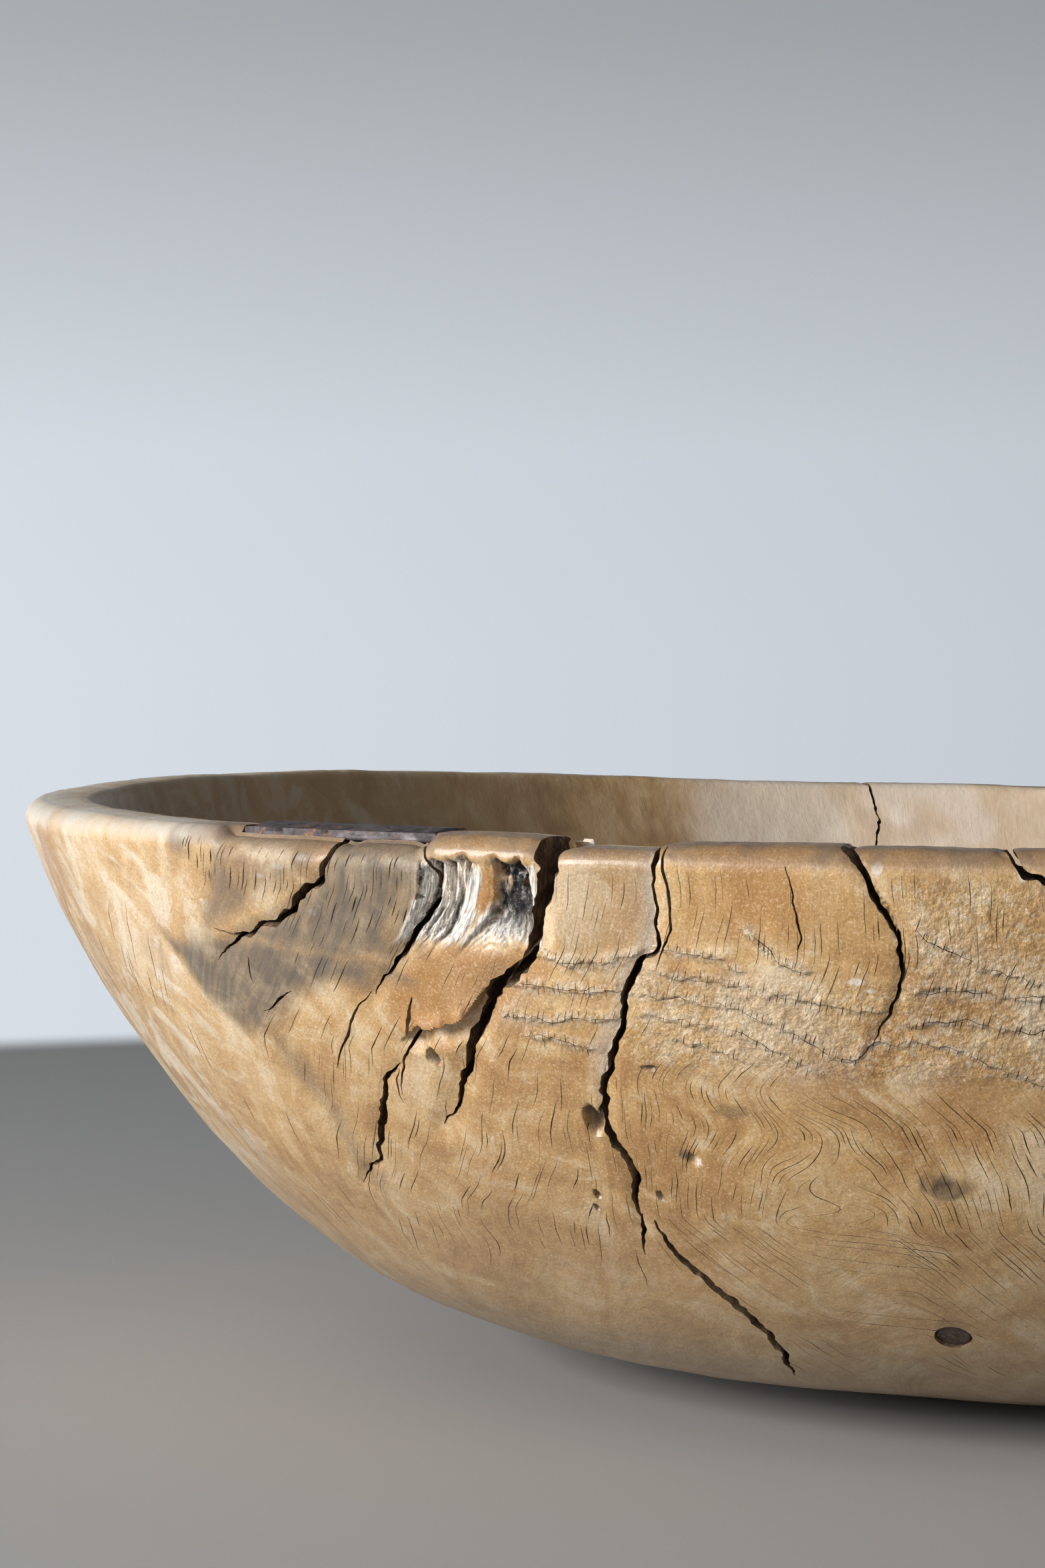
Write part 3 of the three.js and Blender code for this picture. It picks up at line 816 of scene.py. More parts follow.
# The grey-brown stain: outlines as [bearing, drop], each with its strength.
STAINS = [
    [0.95, [[30.6, -10], [48.4, -10], [48.8, 4], [46, 7], [42, 5.5], [37, 5], [33, 6.5], [30.6, 4]]],
    [1.0, [[53, 33], [48, 31], [43.5, 29], [39, 31], [35, 34], [33.6, 38], [38, 41], [42, 45], [44.3, 52],
           [47, 58], [49, 58.5], [50.6, 51], [51.6, 42]]],
    [1.0, [[36.6, -2], [38.2, 12], [41, 22], [45.6, 29], [39, 34], [34, 33], [31.7, 22], [30.9, 14],
           [31.2, -2]]],
    [0.72, [[35.6, -4], [36.8, 6], [38.6, 13], [41.2, 18], [46.8, 26], [49, 31], [47.2, 18], [46.4, 8],
            [46.4, -4]]],
    [0.5, [[44.9, 56], [44.4, 80], [44.8, 110], [46, 112], [46.2, 84], [46.8, 58]]],
]

# Where the wood is most orange, round the lobed lip.
ORANGE_PATCH = [[30.6, 27], [27.5, 30], [25.6, 31], [26.4, 39], [29.5, 47], [32, 51], [34.6, 52], [36, 44],
                [34, 36]]

BLEACHED_CRACK = 4      # the wood to the left of this crack is bleached

# Small dark spots, among them painted shadow under the strap (the first two) and painted shade in the chips
# (those at the chips' places): bearing, drop, half width and height in mm, strength.
DARK_SPOTS_AND_SHADE = [
    (37.3, 1.5, 4.5, 2.0, 0.9), (32.8, 1.8, 3.5, 1.8, 0.9), (46.4, 3.5, 3.0, 3.0, 0.5),
    (25.6, 77, 3.4, 5.4, 1.0), (21.3, 60, 2.6, 1.2, 0.9), (20.9, 86.5, 2.6, 2.4, 0.7), (6.7, 93, 8, 5, 0.8),
    (27.5, 102, 1.6, 2.2, 0.9), (31.7, 15.4, 1.0, 1.0, 1.0), (34.4, 61, 2.6, 3.2, 1.0),
    (28, 107, 1.2, 1.6, 0.8), (23.4, 101, 1.5, 2.2, 0.8), (17.5, 72, 6, 3, 0.4),
    (7.8, 146, 6, 5, 0.3), (16, 40, 4, 3, 0.25),
    (5.6, 38, 1.8, 1.4, 0.6), (32.4, 30.5, 3, 3, 0.35), (-14, 70, 5, 4, 0.6), (-48, 96, 7, 5, 0.7),
    (-84, 60, 4, 4, 0.6), (-122, 108, 8, 6, 0.7), (-168, 84, 5, 4, 0.6), (150, 66, 6, 4, 0.7),
    (96, 92, 8, 5, 0.7),
]

# Small pale chips, and painted glints below the strap round bearings 38 to 42 at drops 7 to 12: bearing,
# drop, half width and height in mm.
PALE_CHIPS_AND_GLINTS = [
    (38.9, 21.5, 1.3, 1.0), (47.8, 21.5, 1.3, 1.0), (20.3, 88.6, 1.4, 1.6), (9.9, 33, 2.2, 1.1),
    (9.3, 35.4, 1.6, 0.9), (40.4, 9.5, 2.6, 1.1), (38.6, 7.2, 1.8, 0.8), (42.0, 12.2, 1.6, 0.8),
    (8.6, 5.5, 1.2, 2.0), (2.2, 6.5, 1.4, 1.6), (33.9, 44.6, 1.3, 2.0), (17.6, 56, 1.2, 0.8),
]


def inside(bearing, drop, outline, soft):
    """1 well inside an outline on the wall and 0 well outside it; soft is the blur in mm."""
    route = np.array(outline + outline[:1], float)
    hit = np.zeros(bearing.shape, bool)
    for (b0, d0), (b1, d1) in zip(route[:-1], route[1:]):
        spans = (d0 > drop) != (d1 > drop)
        crossing = b0 + (drop - d0) * (b1 - b0) / ((d1 - d0) or 1e-9)
        hit ^= spans & (bearing < crossing)
    away, _ = near_line(bearing, drop, route, soft * 3)
    return ease(-soft, soft, np.where(hit, away, -away))


MARKS_FADE = (9, 13)    # stains, rot and wear fade out between these depths in the wall


def dress_with_places(obj):
    """Gives the wood's points their grain coordinates and the strength of each kind of mark, painted shade
    and glints among them.
    """
    points = corners(obj)
    bearing, drop, depth = places(points)
    held = np.clip(drop, 0, WALL)
    turned = bearing_angle(bearing - np.degrees(sway(bearing, held) / wall_radius(held)))
    reach = RIM_RADIUS - depth
    grain = np.stack([reach * np.cos(turned), reach * np.sin(turned), drop / STRETCH], -1)
    put_attribute(obj, "grain", grain)
    put_attribute(obj, "place", np.stack([bearing, drop, depth], -1))

    x, y, z = points.T
    shallow = 1 - ease(*MARKS_FADE, depth)
    fine = layered(x / 2.2, y / 2.2, z / 6, 27)
    broad = noise(x / 9, y / 9, z / 9, 31)
    mild = noise(x / 24, y / 24, z / 24, 36)

    stain = np.zeros(len(points))
    for strength, outline in STAINS:
        ragged = inside(bearing + 0.8 * broad + 0.3 * fine, drop + 3 * broad + 2 * mild, outline, 4.5)
        stain = np.maximum(stain, strength * ragged * (1 - 0.3 * ease(0, 0.8, broad)))
    stain *= shallow

    _, line, window, flutes = hollow(bearing, drop, fine)
    low_reach = 1 - ease(25, 31, drop)
    bone = between(line, *BONE_COLUMN, 0.12) * ease(6, 10, drop)
    silver = between(line, BONE_COLUMN[1], HOLLOW_ENDS[1], 0.15) * ease(0.5, -0.3, flutes) * 0.85
    edge = between(line + 0.1 * fine, HOLLOW_ENDS[0] - 0.1, 25.5, 0.1) * 0.9
    foot = between(line, 25.6, 30.8, 0.2) * between(drop + 2 * fine, 19, 27, 2) * (0.75 - 0.5 * flutes)
    speck = between(line, 25.5, 27.2, 0.2) * ease(0.35, 0.7, fine) * 0.7
    bone = np.clip(bone + silver + edge + foot + speck, 0, 1) * ease(0.05, 0.5, window) * low_reach * shallow
    charred = between(line, 25.5, 27.25, 0.1) * (1 - ease(18, 28, drop + 3 * fine)) * ease(0.6, 0.1, fine)
    grooves = between(line, BONE_COLUMN[1], HOLLOW_ENDS[1], 0.15) * ease(-0.1, 0.7, flutes)
    charred = np.clip(charred + grooves, 0, 1) * ease(0.1, 0.6, window) * low_reach * shallow
    put_attribute(obj, "marks", np.stack([stain, bone, charred], -1))

    ridge, dark = np.zeros(len(points)), np.zeros(len(points))
    wavy = 1.2 * noise(x / 4, y / 4, drop / 9, 25)
    for rows in RIDGES:
        away, _ = near_line(bearing, drop + wavy, rows, 6)
        ridge = np.maximum(ridge, np.exp(-(away / 1.8) ** 2))
    # dark spots, with painted shadow under the strap and painted shade in the chips
    for centre_bearing, centre_drop, wide, tall, strength in DARK_SPOTS_AND_SHADE:
        mark = spot(bearing, drop, centre_bearing, centre_drop, wide, tall) + 0.35 * fine
        dark = np.maximum(dark, strength * ease(0, 0.6, mark))
    put_attribute(obj, "wear", np.stack([ridge, crazed_band(bearing, drop), dark], -1) * shallow[:, None])

    away, side = near_line(bearing, drop, CRACKS[BLEACHED_CRACK][2], 9)
    bleach_and_glints = 0.95 * (side > 0) * ease(6.0, 0.6, away + 1.2 * broad) * (1 - ease(55, 80, drop))
    beside_lip = ease(22.2, 19.5, bearing + 0.5 * broad) * between(bearing, 19.0, 24.2, 0.3)
    bleach_and_glints = np.maximum(bleach_and_glints, 0.2 * beside_lip * (1 - ease(20, 50, drop)))
    bleach_and_glints = np.maximum(bleach_and_glints, 0.35 * ease(0.25, 0.9, mild + 0.3 * broad) * between(drop, -10, 70, 10))
    # pale chips, and painted glints on the wood below the strap
    for centre_bearing, centre_drop, wide, tall in PALE_CHIPS_AND_GLINTS:
        mark = spot(bearing, drop, centre_bearing, centre_drop, wide, tall) + 0.3 * fine
        bleach_and_glints = np.maximum(bleach_and_glints, 1.6 * ease(0, 0.5, mark))
    orange = inside(bearing, drop, ORANGE_PATCH, 2.5)
    away, side = near_line(bearing, drop, LOBED_LIP, 12)
    orange = np.maximum(orange, 1.3 * (side > 0) * np.exp(-(away / 4) ** 2))
    orange = np.maximum(orange, between(line, *ORANGE_COLUMN, 0.2) * between(drop, 8, 20, 2) * 1.2)
    orange = np.maximum(orange, 0.8 * ease(0.0, 0.9, -mild) * between(drop, 0, 130, 20))
    # a brown darkening over block C–F's upper part and the left of the front: grime, with painted shade
    grime_and_shade = 0.45 * between(bearing, 19.3, 24.5, 0.3) * (1 - ease(24, 44, drop)) * (0.8 + 0.3 * broad)
    grime_and_shade = np.maximum(grime_and_shade, 0.13 * between(bearing, 26, 50, 3))
    put_attribute(obj, "tints", np.stack([bleach_and_glints, orange, grime_and_shade], -1) * shallow[:, None])


# ---- small parts ---------------------------------------------------------------------------------

def rounded_ring(half_wide, half_tall, corner, per_corner):
    """Points round a rectangle with rounded corners."""
    points = []
    for quarter, (sx, sy) in enumerate(((1, 1), (-1, 1), (-1, -1), (1, -1))):
        turn = np.linspace(0, math.pi / 2, per_corner) + quarter * math.pi / 2
        points.append(np.stack([
            sx * (half_wide - corner) + corner * np.cos(turn),
            sy * (half_tall - corner) + corner * np.sin(turn)], -1))
    return np.concatenate(points)


def follow_oval(points):
    """Moves points of the round rim onto the oval one."""
    stretch = oval_stretch(np.arctan2(points[..., 1], points[..., 0]))
    return points * np.stack([stretch, stretch, np.ones_like(stretch)], -1)


EDGE_WORN = 1.0         # how far the strap's outer top edge is hammered down, in mm


def strap_solid(grow, worn):
    """The strap, hammered and worn, or its seat in the rim when grown."""
    half = STRAP["thick"] / 2
    middle = 0.5 * (STRAP["inner"] + STRAP["outer"])
    half_wide = 0.5 * (STRAP["outer"] - STRAP["inner"]) + grow
    top = STRAP_TOP if worn else STRAP_BASE + 12
    base = STRAP_BASE - grow
    ring = rounded_ring(half_wide, 0.5 * (top - base), 0.7 if worn else 0.2, 5)
    per_edge = 14
    fine = []
    for a, b in zip(ring, np.roll(ring, -1, 0)):
        pieces = per_edge if np.hypot(*(b - a)) > 2 else 1
        fine.extend(a + (b - a) * k / pieces for k in range(pieces))
    ring = np.array(fine)
    if len(ring) % 2:
        ring = np.concatenate([ring, ring[:1] * 0.5 + ring[-1:] * 0.5])
    margin = math.degrees(grow / STRAP["inner"])
    bearings = np.linspace(STRAP["from"] - margin, STRAP["to"] + margin, 180 if worn else 40)
    angle = bearing_angle(bearings)[:, None]
    radius = middle + ring[None, :, 0] + 0 * angle
    height = 0.5 * (top + base) + ring[None, :, 1] + 0 * angle
    if worn:
        from_end = np.minimum(bearings - STRAP["from"], STRAP["to"] - bearings)[:, None] * 5.0
        pinch = 1 - 0.4 * (1 - ease(0, 1.4, from_end))
        height = STRAP_BASE + half + (height - STRAP_BASE - half) * pinch
        radius = middle + (radius - middle) * (1 - 0.05 * (1 - ease(0, 2.0, from_end)))
        upper = height > STRAP_BASE + 0.7 * STRAP["thick"]
        height = height - upper * EDGE_WORN * ease(STRAP["outer"] - 6.5, STRAP["outer"] - 0.5, radius)
        arc = np.radians(bearings)[:, None] * middle
        height = height - upper * 0.28 * ease(-0.2, 0.8, noise(arc / 5, radius / 5, 0, 41))
        height = height - upper * 0.1 * ease(0, 1, noise(arc / 1.6, radius / 1.6, 0, 42))
        radius = radius - 0.35 * ease(-0.4, 1, noise(arc / 4, height / 3, 3, 43)) * (radius > middle + 5)
    points = np.stack([radius * np.cos(angle), radius * np.sin(angle), height], -1)
    return loft(follow_oval(points))


def nail_solid(bearing, grow, worn):
    """A square forged nail with a head let into the strap, or its hole when grown."""
    shank, point = NAILS["shank"] / 2 + grow, NAILS["point"] / 2 + grow
    head, thick = NAILS["head"] / 2 + grow, NAILS["head_thick"]
    length = NAILS["overall"] - thick
    rings = [[point + (shank - point) * t, 0.92, -thick - length * (1 - t)] for t in np.linspace(0, 1, 9)]
    rings[0][2] -= grow
    rings += [[shank + (head - shank) * t, 0.92 * (1 - t) + 0.25, -thick * (1 - t)] for t in (0.3, 0.6, 0.85)]
    if worn:
        rings += [[head * 0.97, 0.25, -0.16], [head * 0.9, 0.25, -0.04]]
        rings += [[head * (1 - t), 0.25, -0.03 + 0.05 * math.sin(7 * t)] for t in (0.3, 0.5, 0.7, 0.85, 0.97)]
    else:
        rings += [[head, 0.25, 0.0], [head, 0.25, 3.0]]
    count = 32
    turn = np.linspace(0, 2 * math.pi, count + 1)[:-1]
    layers = []
    for k, (half, square, height) in enumerate(rings):
        reach = half / np.maximum(np.abs(np.cos(turn)), np.abs(np.sin(turn))) ** square
        if worn:
            uneven = noise(np.cos(turn) * 2 + bearing, np.sin(turn) * 2, k / 3, 44)
            reach = reach * (1 - 0.05 * np.abs(uneven))
        layers.append(np.stack([reach * np.cos(turn), reach * np.sin(turn), np.full(count, height)], -1))
    points = np.array(layers)
    angle = float(bearing_angle(bearing))
    radius = NAILS["radius"] * (1 + OVAL * math.cos(2 * angle))
    c, s = math.cos(angle), math.sin(angle)
    x, y, z = points[..., 0], points[..., 1], points[..., 2]
    top = STRAP_TOP - NAILS["below"]
    return loft(np.stack([c * (radius + x) - s * y, s * (radius + x) + c * y, z + top], -1))


def knot_solid(grow, worn):
    """The dead knot, or its hole when grown."""
    origin, left, up, out = (v[0] for v in wall_frame([KNOT["bearing"]], [KNOT["drop"]]))
    taper = (KNOT["radius"] - KNOT["tip"]) / KNOT["length"]
    front = -KNOT["recessed"] if worn else 4.0
    back = -KNOT["recessed"] - KNOT["length"] - grow
    count = 48
    turn = np.linspace(0, 2 * math.pi, count + 1)[:-1]
    along = np.linspace(back, front, 14)
    radii = [KNOT["radius"] + grow + taper * (a + KNOT["recessed"]) for a in along]
    shapes = list(zip(along, radii))
    if worn:
        last = radii[-1]
        shapes[-1] = (front - 0.5, last * 0.995)
        shapes += [(front - 0.28, last * 0.97), (front - 0.12, last * 0.9)]
        face = np.linspace(0.2, 0.98, 14)
        shapes += [(front - 0.06 + 0.04 * math.sin(t * 9), last * (1 - t)) for t in face]
    layers = []
    for a, radius in shapes:
        uneven = 1 + (0.03 * noise(np.cos(turn) * 1.4, np.sin(turn) * 1.4, 0.7, 51) if radius > 1 else 0)
        ring_left, ring_up = radius * np.cos(turn) * uneven, radius * KNOT["tall"] * np.sin(turn) * uneven
        layers.append(origin + left * ring_left[:, None] + up * ring_up[:, None] + out * a)
    return loft(np.array(layers))


# ---- material building -----------------------------------------------------------------------------

def fill_ramp(node, stops):
    """Sets a colour ramp to stops, each a place from 0 to 1 and a colour."""
    elements = node.color_ramp.elements
    while len(elements) < len(stops):
        elements.new(0.5)
    for element, (place, colour) in zip(elements, stops):
        element.position = place
        element.color = (*colour, 1)


class Surface:
    """A material and short ways of wiring its nodes."""

    def __init__(self, name):
        self.material = bpy.data.materials.new(name)
        self.material.use_nodes = True
        self.tree = self.material.node_tree
        self.tree.nodes.clear()
        self.shader = self.add("ShaderNodeBsdfPrincipled")
        output = self.add("ShaderNodeOutputMaterial")
        self.link(self.shader.outputs["BSDF"], output.inputs["Surface"])

    def add(self, kind, **settings):
        node = self.tree.nodes.new(kind)
        for key, value in settings.items():
            setattr(node, key, value)
        return node

    def link(self, source, target):
        self.tree.links.new(source, target)

    def feed(self, socket, value):
        if hasattr(value, "is_output"):
            self.link(value, socket)
        elif isinstance(value, (tuple, list)) and len(value) == 3 and socket.type == "RGBA":
            socket.default_value = (*value, 1)
        else:
            socket.default_value = value

    def attribute(self, name, part=None):
        node = self.add("ShaderNodeAttribute", attribute_name=name)
        if part is None:
            return node.outputs["Vector"]
        return self.split(node.outputs["Vector"], part)

    def split(self, vector, part):
        node = self.add("ShaderNodeSeparateXYZ")
        self.link(vector, node.inputs[0])
        return node.outputs[part]

    def solid(self):
        return self.add("ShaderNodeTexCoord").outputs["Object"]

    def noise(self, vector, scale, detail=3.0, rough=0.5, distortion=0.0):
        node = self.add("ShaderNodeTexNoise")
        self.link(vector, node.inputs["Vector"])
        node.inputs["Scale"].default_value = scale
        node.inputs["Detail"].default_value = detail
        node.inputs["Roughness"].default_value = rough
        node.inputs["Distortion"].default_value = distortion
        return node.outputs["Fac"]

    def calc(self, operation, *values):
        node = self.add("ShaderNodeMath", operation=operation)
        for socket, value in zip(node.inputs, values):
            self.feed(socket, value)
        return node.outputs[0]

    def times(self, a, b):
        return self.calc("MULTIPLY", a, b)

    def plus(self, a, b):
        return self.calc("ADD", a, b)

    def minus(self, a, b):
        return self.calc("SUBTRACT", a, b)

    def most(self, a, b):
        return self.calc("MAXIMUM", a, b)

    def step(self, value, low, high, start=0.0, stop=1.0):
        """A smooth step from start to stop as value runs from low to high."""
        node = self.add("ShaderNodeMapRange", interpolation_type="SMOOTHSTEP")
        self.feed(node.inputs["Value"], value)
        node.inputs["From Min"].default_value = low
        node.inputs["From Max"].default_value = high
        node.inputs["To Min"].default_value = start
        node.inputs["To Max"].default_value = stop
        return node.outputs["Result"]

    def mix(self, amount, a, b):
        node = self.add("ShaderNodeMix", data_type="RGBA")
        self.feed(node.inputs[0], amount)
        self.feed(node.inputs[6], a)
        self.feed(node.inputs[7], b)
        return node.outputs[2]

    def ramp(self, value, stops):
        node = self.add("ShaderNodeValToRGB")
        self.feed(node.inputs["Fac"], value)
        fill_ramp(node, stops)
        return node.outputs["Color"]

    def line(self, value, width):
        """1 where a noise crosses its middle value, which makes thin winding lines."""
        away = self.calc("ABSOLUTE", self.minus(value, 0.5))
        return self.step(away, width * 0.4, width, 1.0, 0.0)

    def bump(self, height, distance, strength):
        node = self.add("ShaderNodeBump")
        node.inputs["Strength"].default_value = strength
        node.inputs["Distance"].default_value = distance
        self.link(height, node.inputs["Height"])
        return node.outputs["Normal"]


# Colours of the waxed wood, all linear red, green and blue.
WOOD_TONES = [(0.41, (0.37, 0.2, 0.07)), (0.47, (0.49, 0.295, 0.115)), (0.53, (0.57, 0.38, 0.18)),
              (0.60, (0.67, 0.5, 0.3))]
SOOT_TONES = [(0.42, (0.008, 0.008, 0.009)), (0.51, (0.04, 0.037, 0.036)), (0.6, (0.34, 0.32, 0.29))]
STREAK_BROWN = (0.34, 0.18, 0.07)
HAIR_BROWN = (0.27, 0.145, 0.055)
PATCH_TAN = (0.66, 0.52, 0.34)
WORN_CREAM = (0.70, 0.58, 0.42)
END_PALE_AND_SHEEN = (0.69, 0.6, 0.46)
ROT_ORANGE = (0.38, 0.185, 0.053)
BLEACHED_AND_GLINT_PALE = (0.68, 0.59, 0.48)
GRIME_AND_SHADE_BROWN = (0.2, 0.135, 0.085)
PORE_DARK = (0.2, 0.11, 0.045)
PORE_PALE = (0.82, 0.7, 0.52)
CRAZED_PALE = (0.70, 0.6, 0.46)
CRAZED_DARK = (0.12, 0.065, 0.03)
STAIN_GREY = (0.115, 0.1, 0.084)
BONE_GREY = (0.3, 0.265, 0.23)
BONE_WHITE = (0.80, 0.76, 0.69)
SPOT_AND_SHADE_BLACK = (0.045, 0.028, 0.02)
# painted shade for the top of the rim's rounded edge, and a painted highlight for the rim at the left end
RIM_SHADE_BROWN = (0.165, 0.105, 0.066)
RIM_HIGHLIGHT_PALE = (0.5, 0.45, 0.38)
UNDER_GRIME_AND_SHADE = (0.26, 0.18, 0.1)
# painted shadow and painted light for the inside of the bowl
INSIDE_SHADOW_DARK = (0.22, 0.175, 0.125)
INSIDE_LIGHT_PALE = (0.88, 0.78, 0.67)
INSIDE_BLOTCH = (0.4, 0.28, 0.17)


def waxed_wood():
    """The bowl's surface: waxed burr wood with its grain, stain, rot and wear, and painted light and shade on
    the rim, the inside, the underside, the left end and in the chips.
    """
    s = Surface("waxed burr wood")
    solid, grain = s.solid(), s.attribute("grain")
    drop, depth = s.attribute("place", 1), s.attribute("place", 2)
    stain, bone, charred = (s.attribute("marks", k) for k in range(3))
    ridge, crazed, dark = (s.attribute("wear", k) for k in range(3))
    bleach_and_glints, orange, grime_and_shade = (s.attribute("tints", k) for k in range(3))
    outside = s.step(depth, 18, 14)
    x = s.split(solid, 0)
    left_end = s.step(x, -0.205, -0.228)
    grained = s.times(outside, s.minus(1.0, s.times(left_end, 0.75)))

    broad = s.noise(solid, 13, 3, 0.55, 0.6)
    blotch = s.noise(solid, 55, 5, 0.62, 1.0)
    long_streak = s.noise(grain, 0.10, 4, 0.6, 0.4)
    streak = s.noise(grain, 0.45, 4, 0.6, 0.3)
    hair = s.noise(grain, 1.9, 3, 0.6)
    speckle = s.noise(solid, 420, 3, 0.6)
    tone = s.plus(s.times(broad, 0.35), s.times(long_streak, 0.25))
    tone = s.plus(tone, s.times(blotch, 0.4))
    colour = s.ramp(tone, WOOD_TONES)
    streaked = s.times(s.step(streak, 0.45, 0.72, 0, 0.3), grained)
    colour = s.mix(streaked, colour, STREAK_BROWN)
    patch = s.times(s.step(blotch, 0.54, 0.66, 0, 0.5), outside)
    colour = s.mix(patch, colour, PATCH_TAN)
    colour = s.mix(s.times(s.step(hair, 0.52, 0.75, 0, 0.3), grained), colour, HAIR_BROWN)
    worn_pale = s.times(s.step(s.noise(grain, 0.8, 4, 0.7), 0.52, 0.64), s.step(blotch, 0.45, 0.6))
    colour = s.mix(s.times(s.times(worn_pale, grained), 0.4), colour, WORN_CREAM)
    # the left end paler in blotches: pale worn wood, with a painted reflection of the pale backdrop
    pale_end_and_sheen = s.step(s.noise(solid, 34, 5, 0.6, 1.8), 0.47, 0.6, 0.1, 0.75)
    colour = s.mix(s.times(left_end, pale_end_and_sheen), colour, END_PALE_AND_SHEEN)
    colour = s.mix(s.times(orange, s.step(blotch, 0.35, 0.6, 0.6, 1.0)), colour, ROT_ORANGE)
    # bleached wood, with painted glints from the pale spots list
    bleached = s.times(bleach_and_glints, s.step(streak, 0.62, 0.38, 0.45, 0.95))
    bleached = s.times(bleached, s.step(orange, 0.3, 1.0, 1.0, 0.25))
    colour = s.mix(bleached, colour, BLEACHED_AND_GLINT_PALE)
    # brown darkening: grime, with painted shade
    colour = s.mix(grime_and_shade, colour, GRIME_AND_SHADE_BROWN)

    fine = s.noise(solid, 1500, 4, 0.75)
    colour = s.mix(s.times(s.step(fine, 0.5, 0.66, 0, 0.42), outside), colour, PORE_DARK)
    colour = s.mix(s.times(s.step(fine, 0.46, 0.34, 0, 0.4), outside), colour, PORE_PALE)

    # crazed band and ridges: pale, worn and finely cracked
    pale = s.most(s.times(ridge, s.step(speckle, 0.44, 0.58, 0.1, 0.8)),
                  s.times(crazed, s.step(speckle, 0.54, 0.64, 0, 0.6)))
    colour = s.mix(s.times(pale, 0.7), colour, CRAZED_PALE)

    crazing = s.most(s.step(ridge, 0.3, 0.8), s.times(crazed, 0.3))
    craze = s.times(s.line(s.noise(grain, 3.2, 2, 0.5, 0.8), 0.02), crazing)
    lines = s.times(craze, grained)
    colour = s.mix(s.times(lines, 0.42), colour, CRAZED_DARK)

    # stain, rot and dark spots, with the painted shadow under the strap and painted shade in the chips
    stained = s.times(stain, s.step(streak, 0.3, 0.7, 0.75, 0.97))
    stained = s.times(stained, s.step(blotch, 0.66, 0.45, 0.75, 1.0))
    colour = s.mix(stained, colour, STAIN_GREY)
    fibre = s.step(s.noise(grain, 1.6, 4, 0.7), 0.40, 0.56)
    colour = s.mix(bone, colour, s.mix(fibre, BONE_GREY, BONE_WHITE))
    soot = s.plus(s.times(s.noise(solid, 700, 4, 0.75), 0.5),
                  s.times(s.noise(grain, 1.5, 4, 0.75), 0.5))
    colour = s.mix(charred, colour, s.ramp(soot, SOOT_TONES))
    colour = s.mix(s.times(dark, 0.9), colour, SPOT_AND_SHADE_BLACK)

    # the top of the rim's rounded edge is darkened as painted shade above its highlight line, and paled at
    # the left end as a painted highlight; the underside darkens towards brown, grime with painted shade
    painted_rim_band = s.times(s.times(s.step(drop, 7, 3.5), outside), s.step(blotch, 0.35, 0.6, 0.5, 1.0))
    colour = s.mix(s.times(painted_rim_band, 0.9), colour, s.mix(left_end, RIM_SHADE_BROWN, RIM_HIGHLIGHT_PALE))
    # darker and browner towards the underside: grime, with painted shade where the wall turns away from the
    # light
    colour = s.mix(s.step(drop, 75, 180, 0, 0.62), colour, UNDER_GRIME_AND_SHADE)
    # inside the bowl: painted shadow on the left part of the inner wall, where the rim keeps the window light
    # off, and mottled painted light on the right part
    within = s.minus(1.0, outside)
    shifted = s.plus(x, s.times(s.minus(broad, 0.5), 0.16))
    shadowed_inside = s.times(within, s.step(shifted, -0.12, -0.2))
    lit_inside = s.times(s.times(within, s.step(shifted, -0.17, -0.1)), s.step(drop, 60, 30))
    colour = s.mix(s.times(shadowed_inside, 0.56), colour, INSIDE_SHADOW_DARK)
    mottle = s.noise(solid, 34, 2, 0.4)
    colour = s.mix(s.times(lit_inside, s.step(mottle, 0.4, 0.58, 0.45, 0.9)), colour, INSIDE_LIGHT_PALE)
    colour = s.mix(s.times(within, s.step(broad, 0.46, 0.62, 0.0, 0.4)), colour, INSIDE_BLOTCH)
    s.feed(s.shader.inputs["Base Color"], colour)

    rough = s.step(streak, 0.3, 0.75, 0.32, 0.46)
    rough = s.plus(rough, s.step(speckle, 0.45, 0.65, 0, 0.08))
    rough = s.plus(rough, s.times(s.most(bone, charred), 0.4))
    rough = s.plus(rough, s.times(s.most(lines, dark), 0.3))
    s.feed(s.shader.inputs["Roughness"], rough)
    dull = s.most(s.times(stain, 0.24), s.times(painted_rim_band, 0.26))
    s.feed(s.shader.inputs["Specular IOR Level"], s.minus(0.4, dull))
    wax = s.minus(0.4, s.times(s.most(s.most(bone, charred), stain), 0.4))
    s.feed(s.shader.inputs["Coat Weight"], s.times(wax, s.step(depth, 12, 6, 0.2, 1.0)))
    s.shader.inputs["Coat Roughness"].default_value = 0.22

    height = s.plus(s.times(streak, 0.35), s.times(hair, 0.3))
    height = s.plus(height, s.times(s.noise(solid, 600, 3, 0.6), 0.35))
    height = s.plus(height, s.times(fine, s.step(depth, 14, 8, 0.1, 0.45)))
    height = s.plus(height, s.times(s.noise(solid, 150, 2, 0.5), 1.3))
    height = s.minus(height, s.times(lines, 1.5))
    pimples = s.noise(solid, 850, 2, 0.5)
    height = s.plus(height, s.times(s.most(crazed, ridge), s.times(pimples, 2.2)))
    height = s.plus(height, s.times(s.most(charred, bone), s.times(soot, 3.0)))
    s.feed(s.shader.inputs["Normal"], s.bump(height, 0.00035, 0.8))
    return s.material


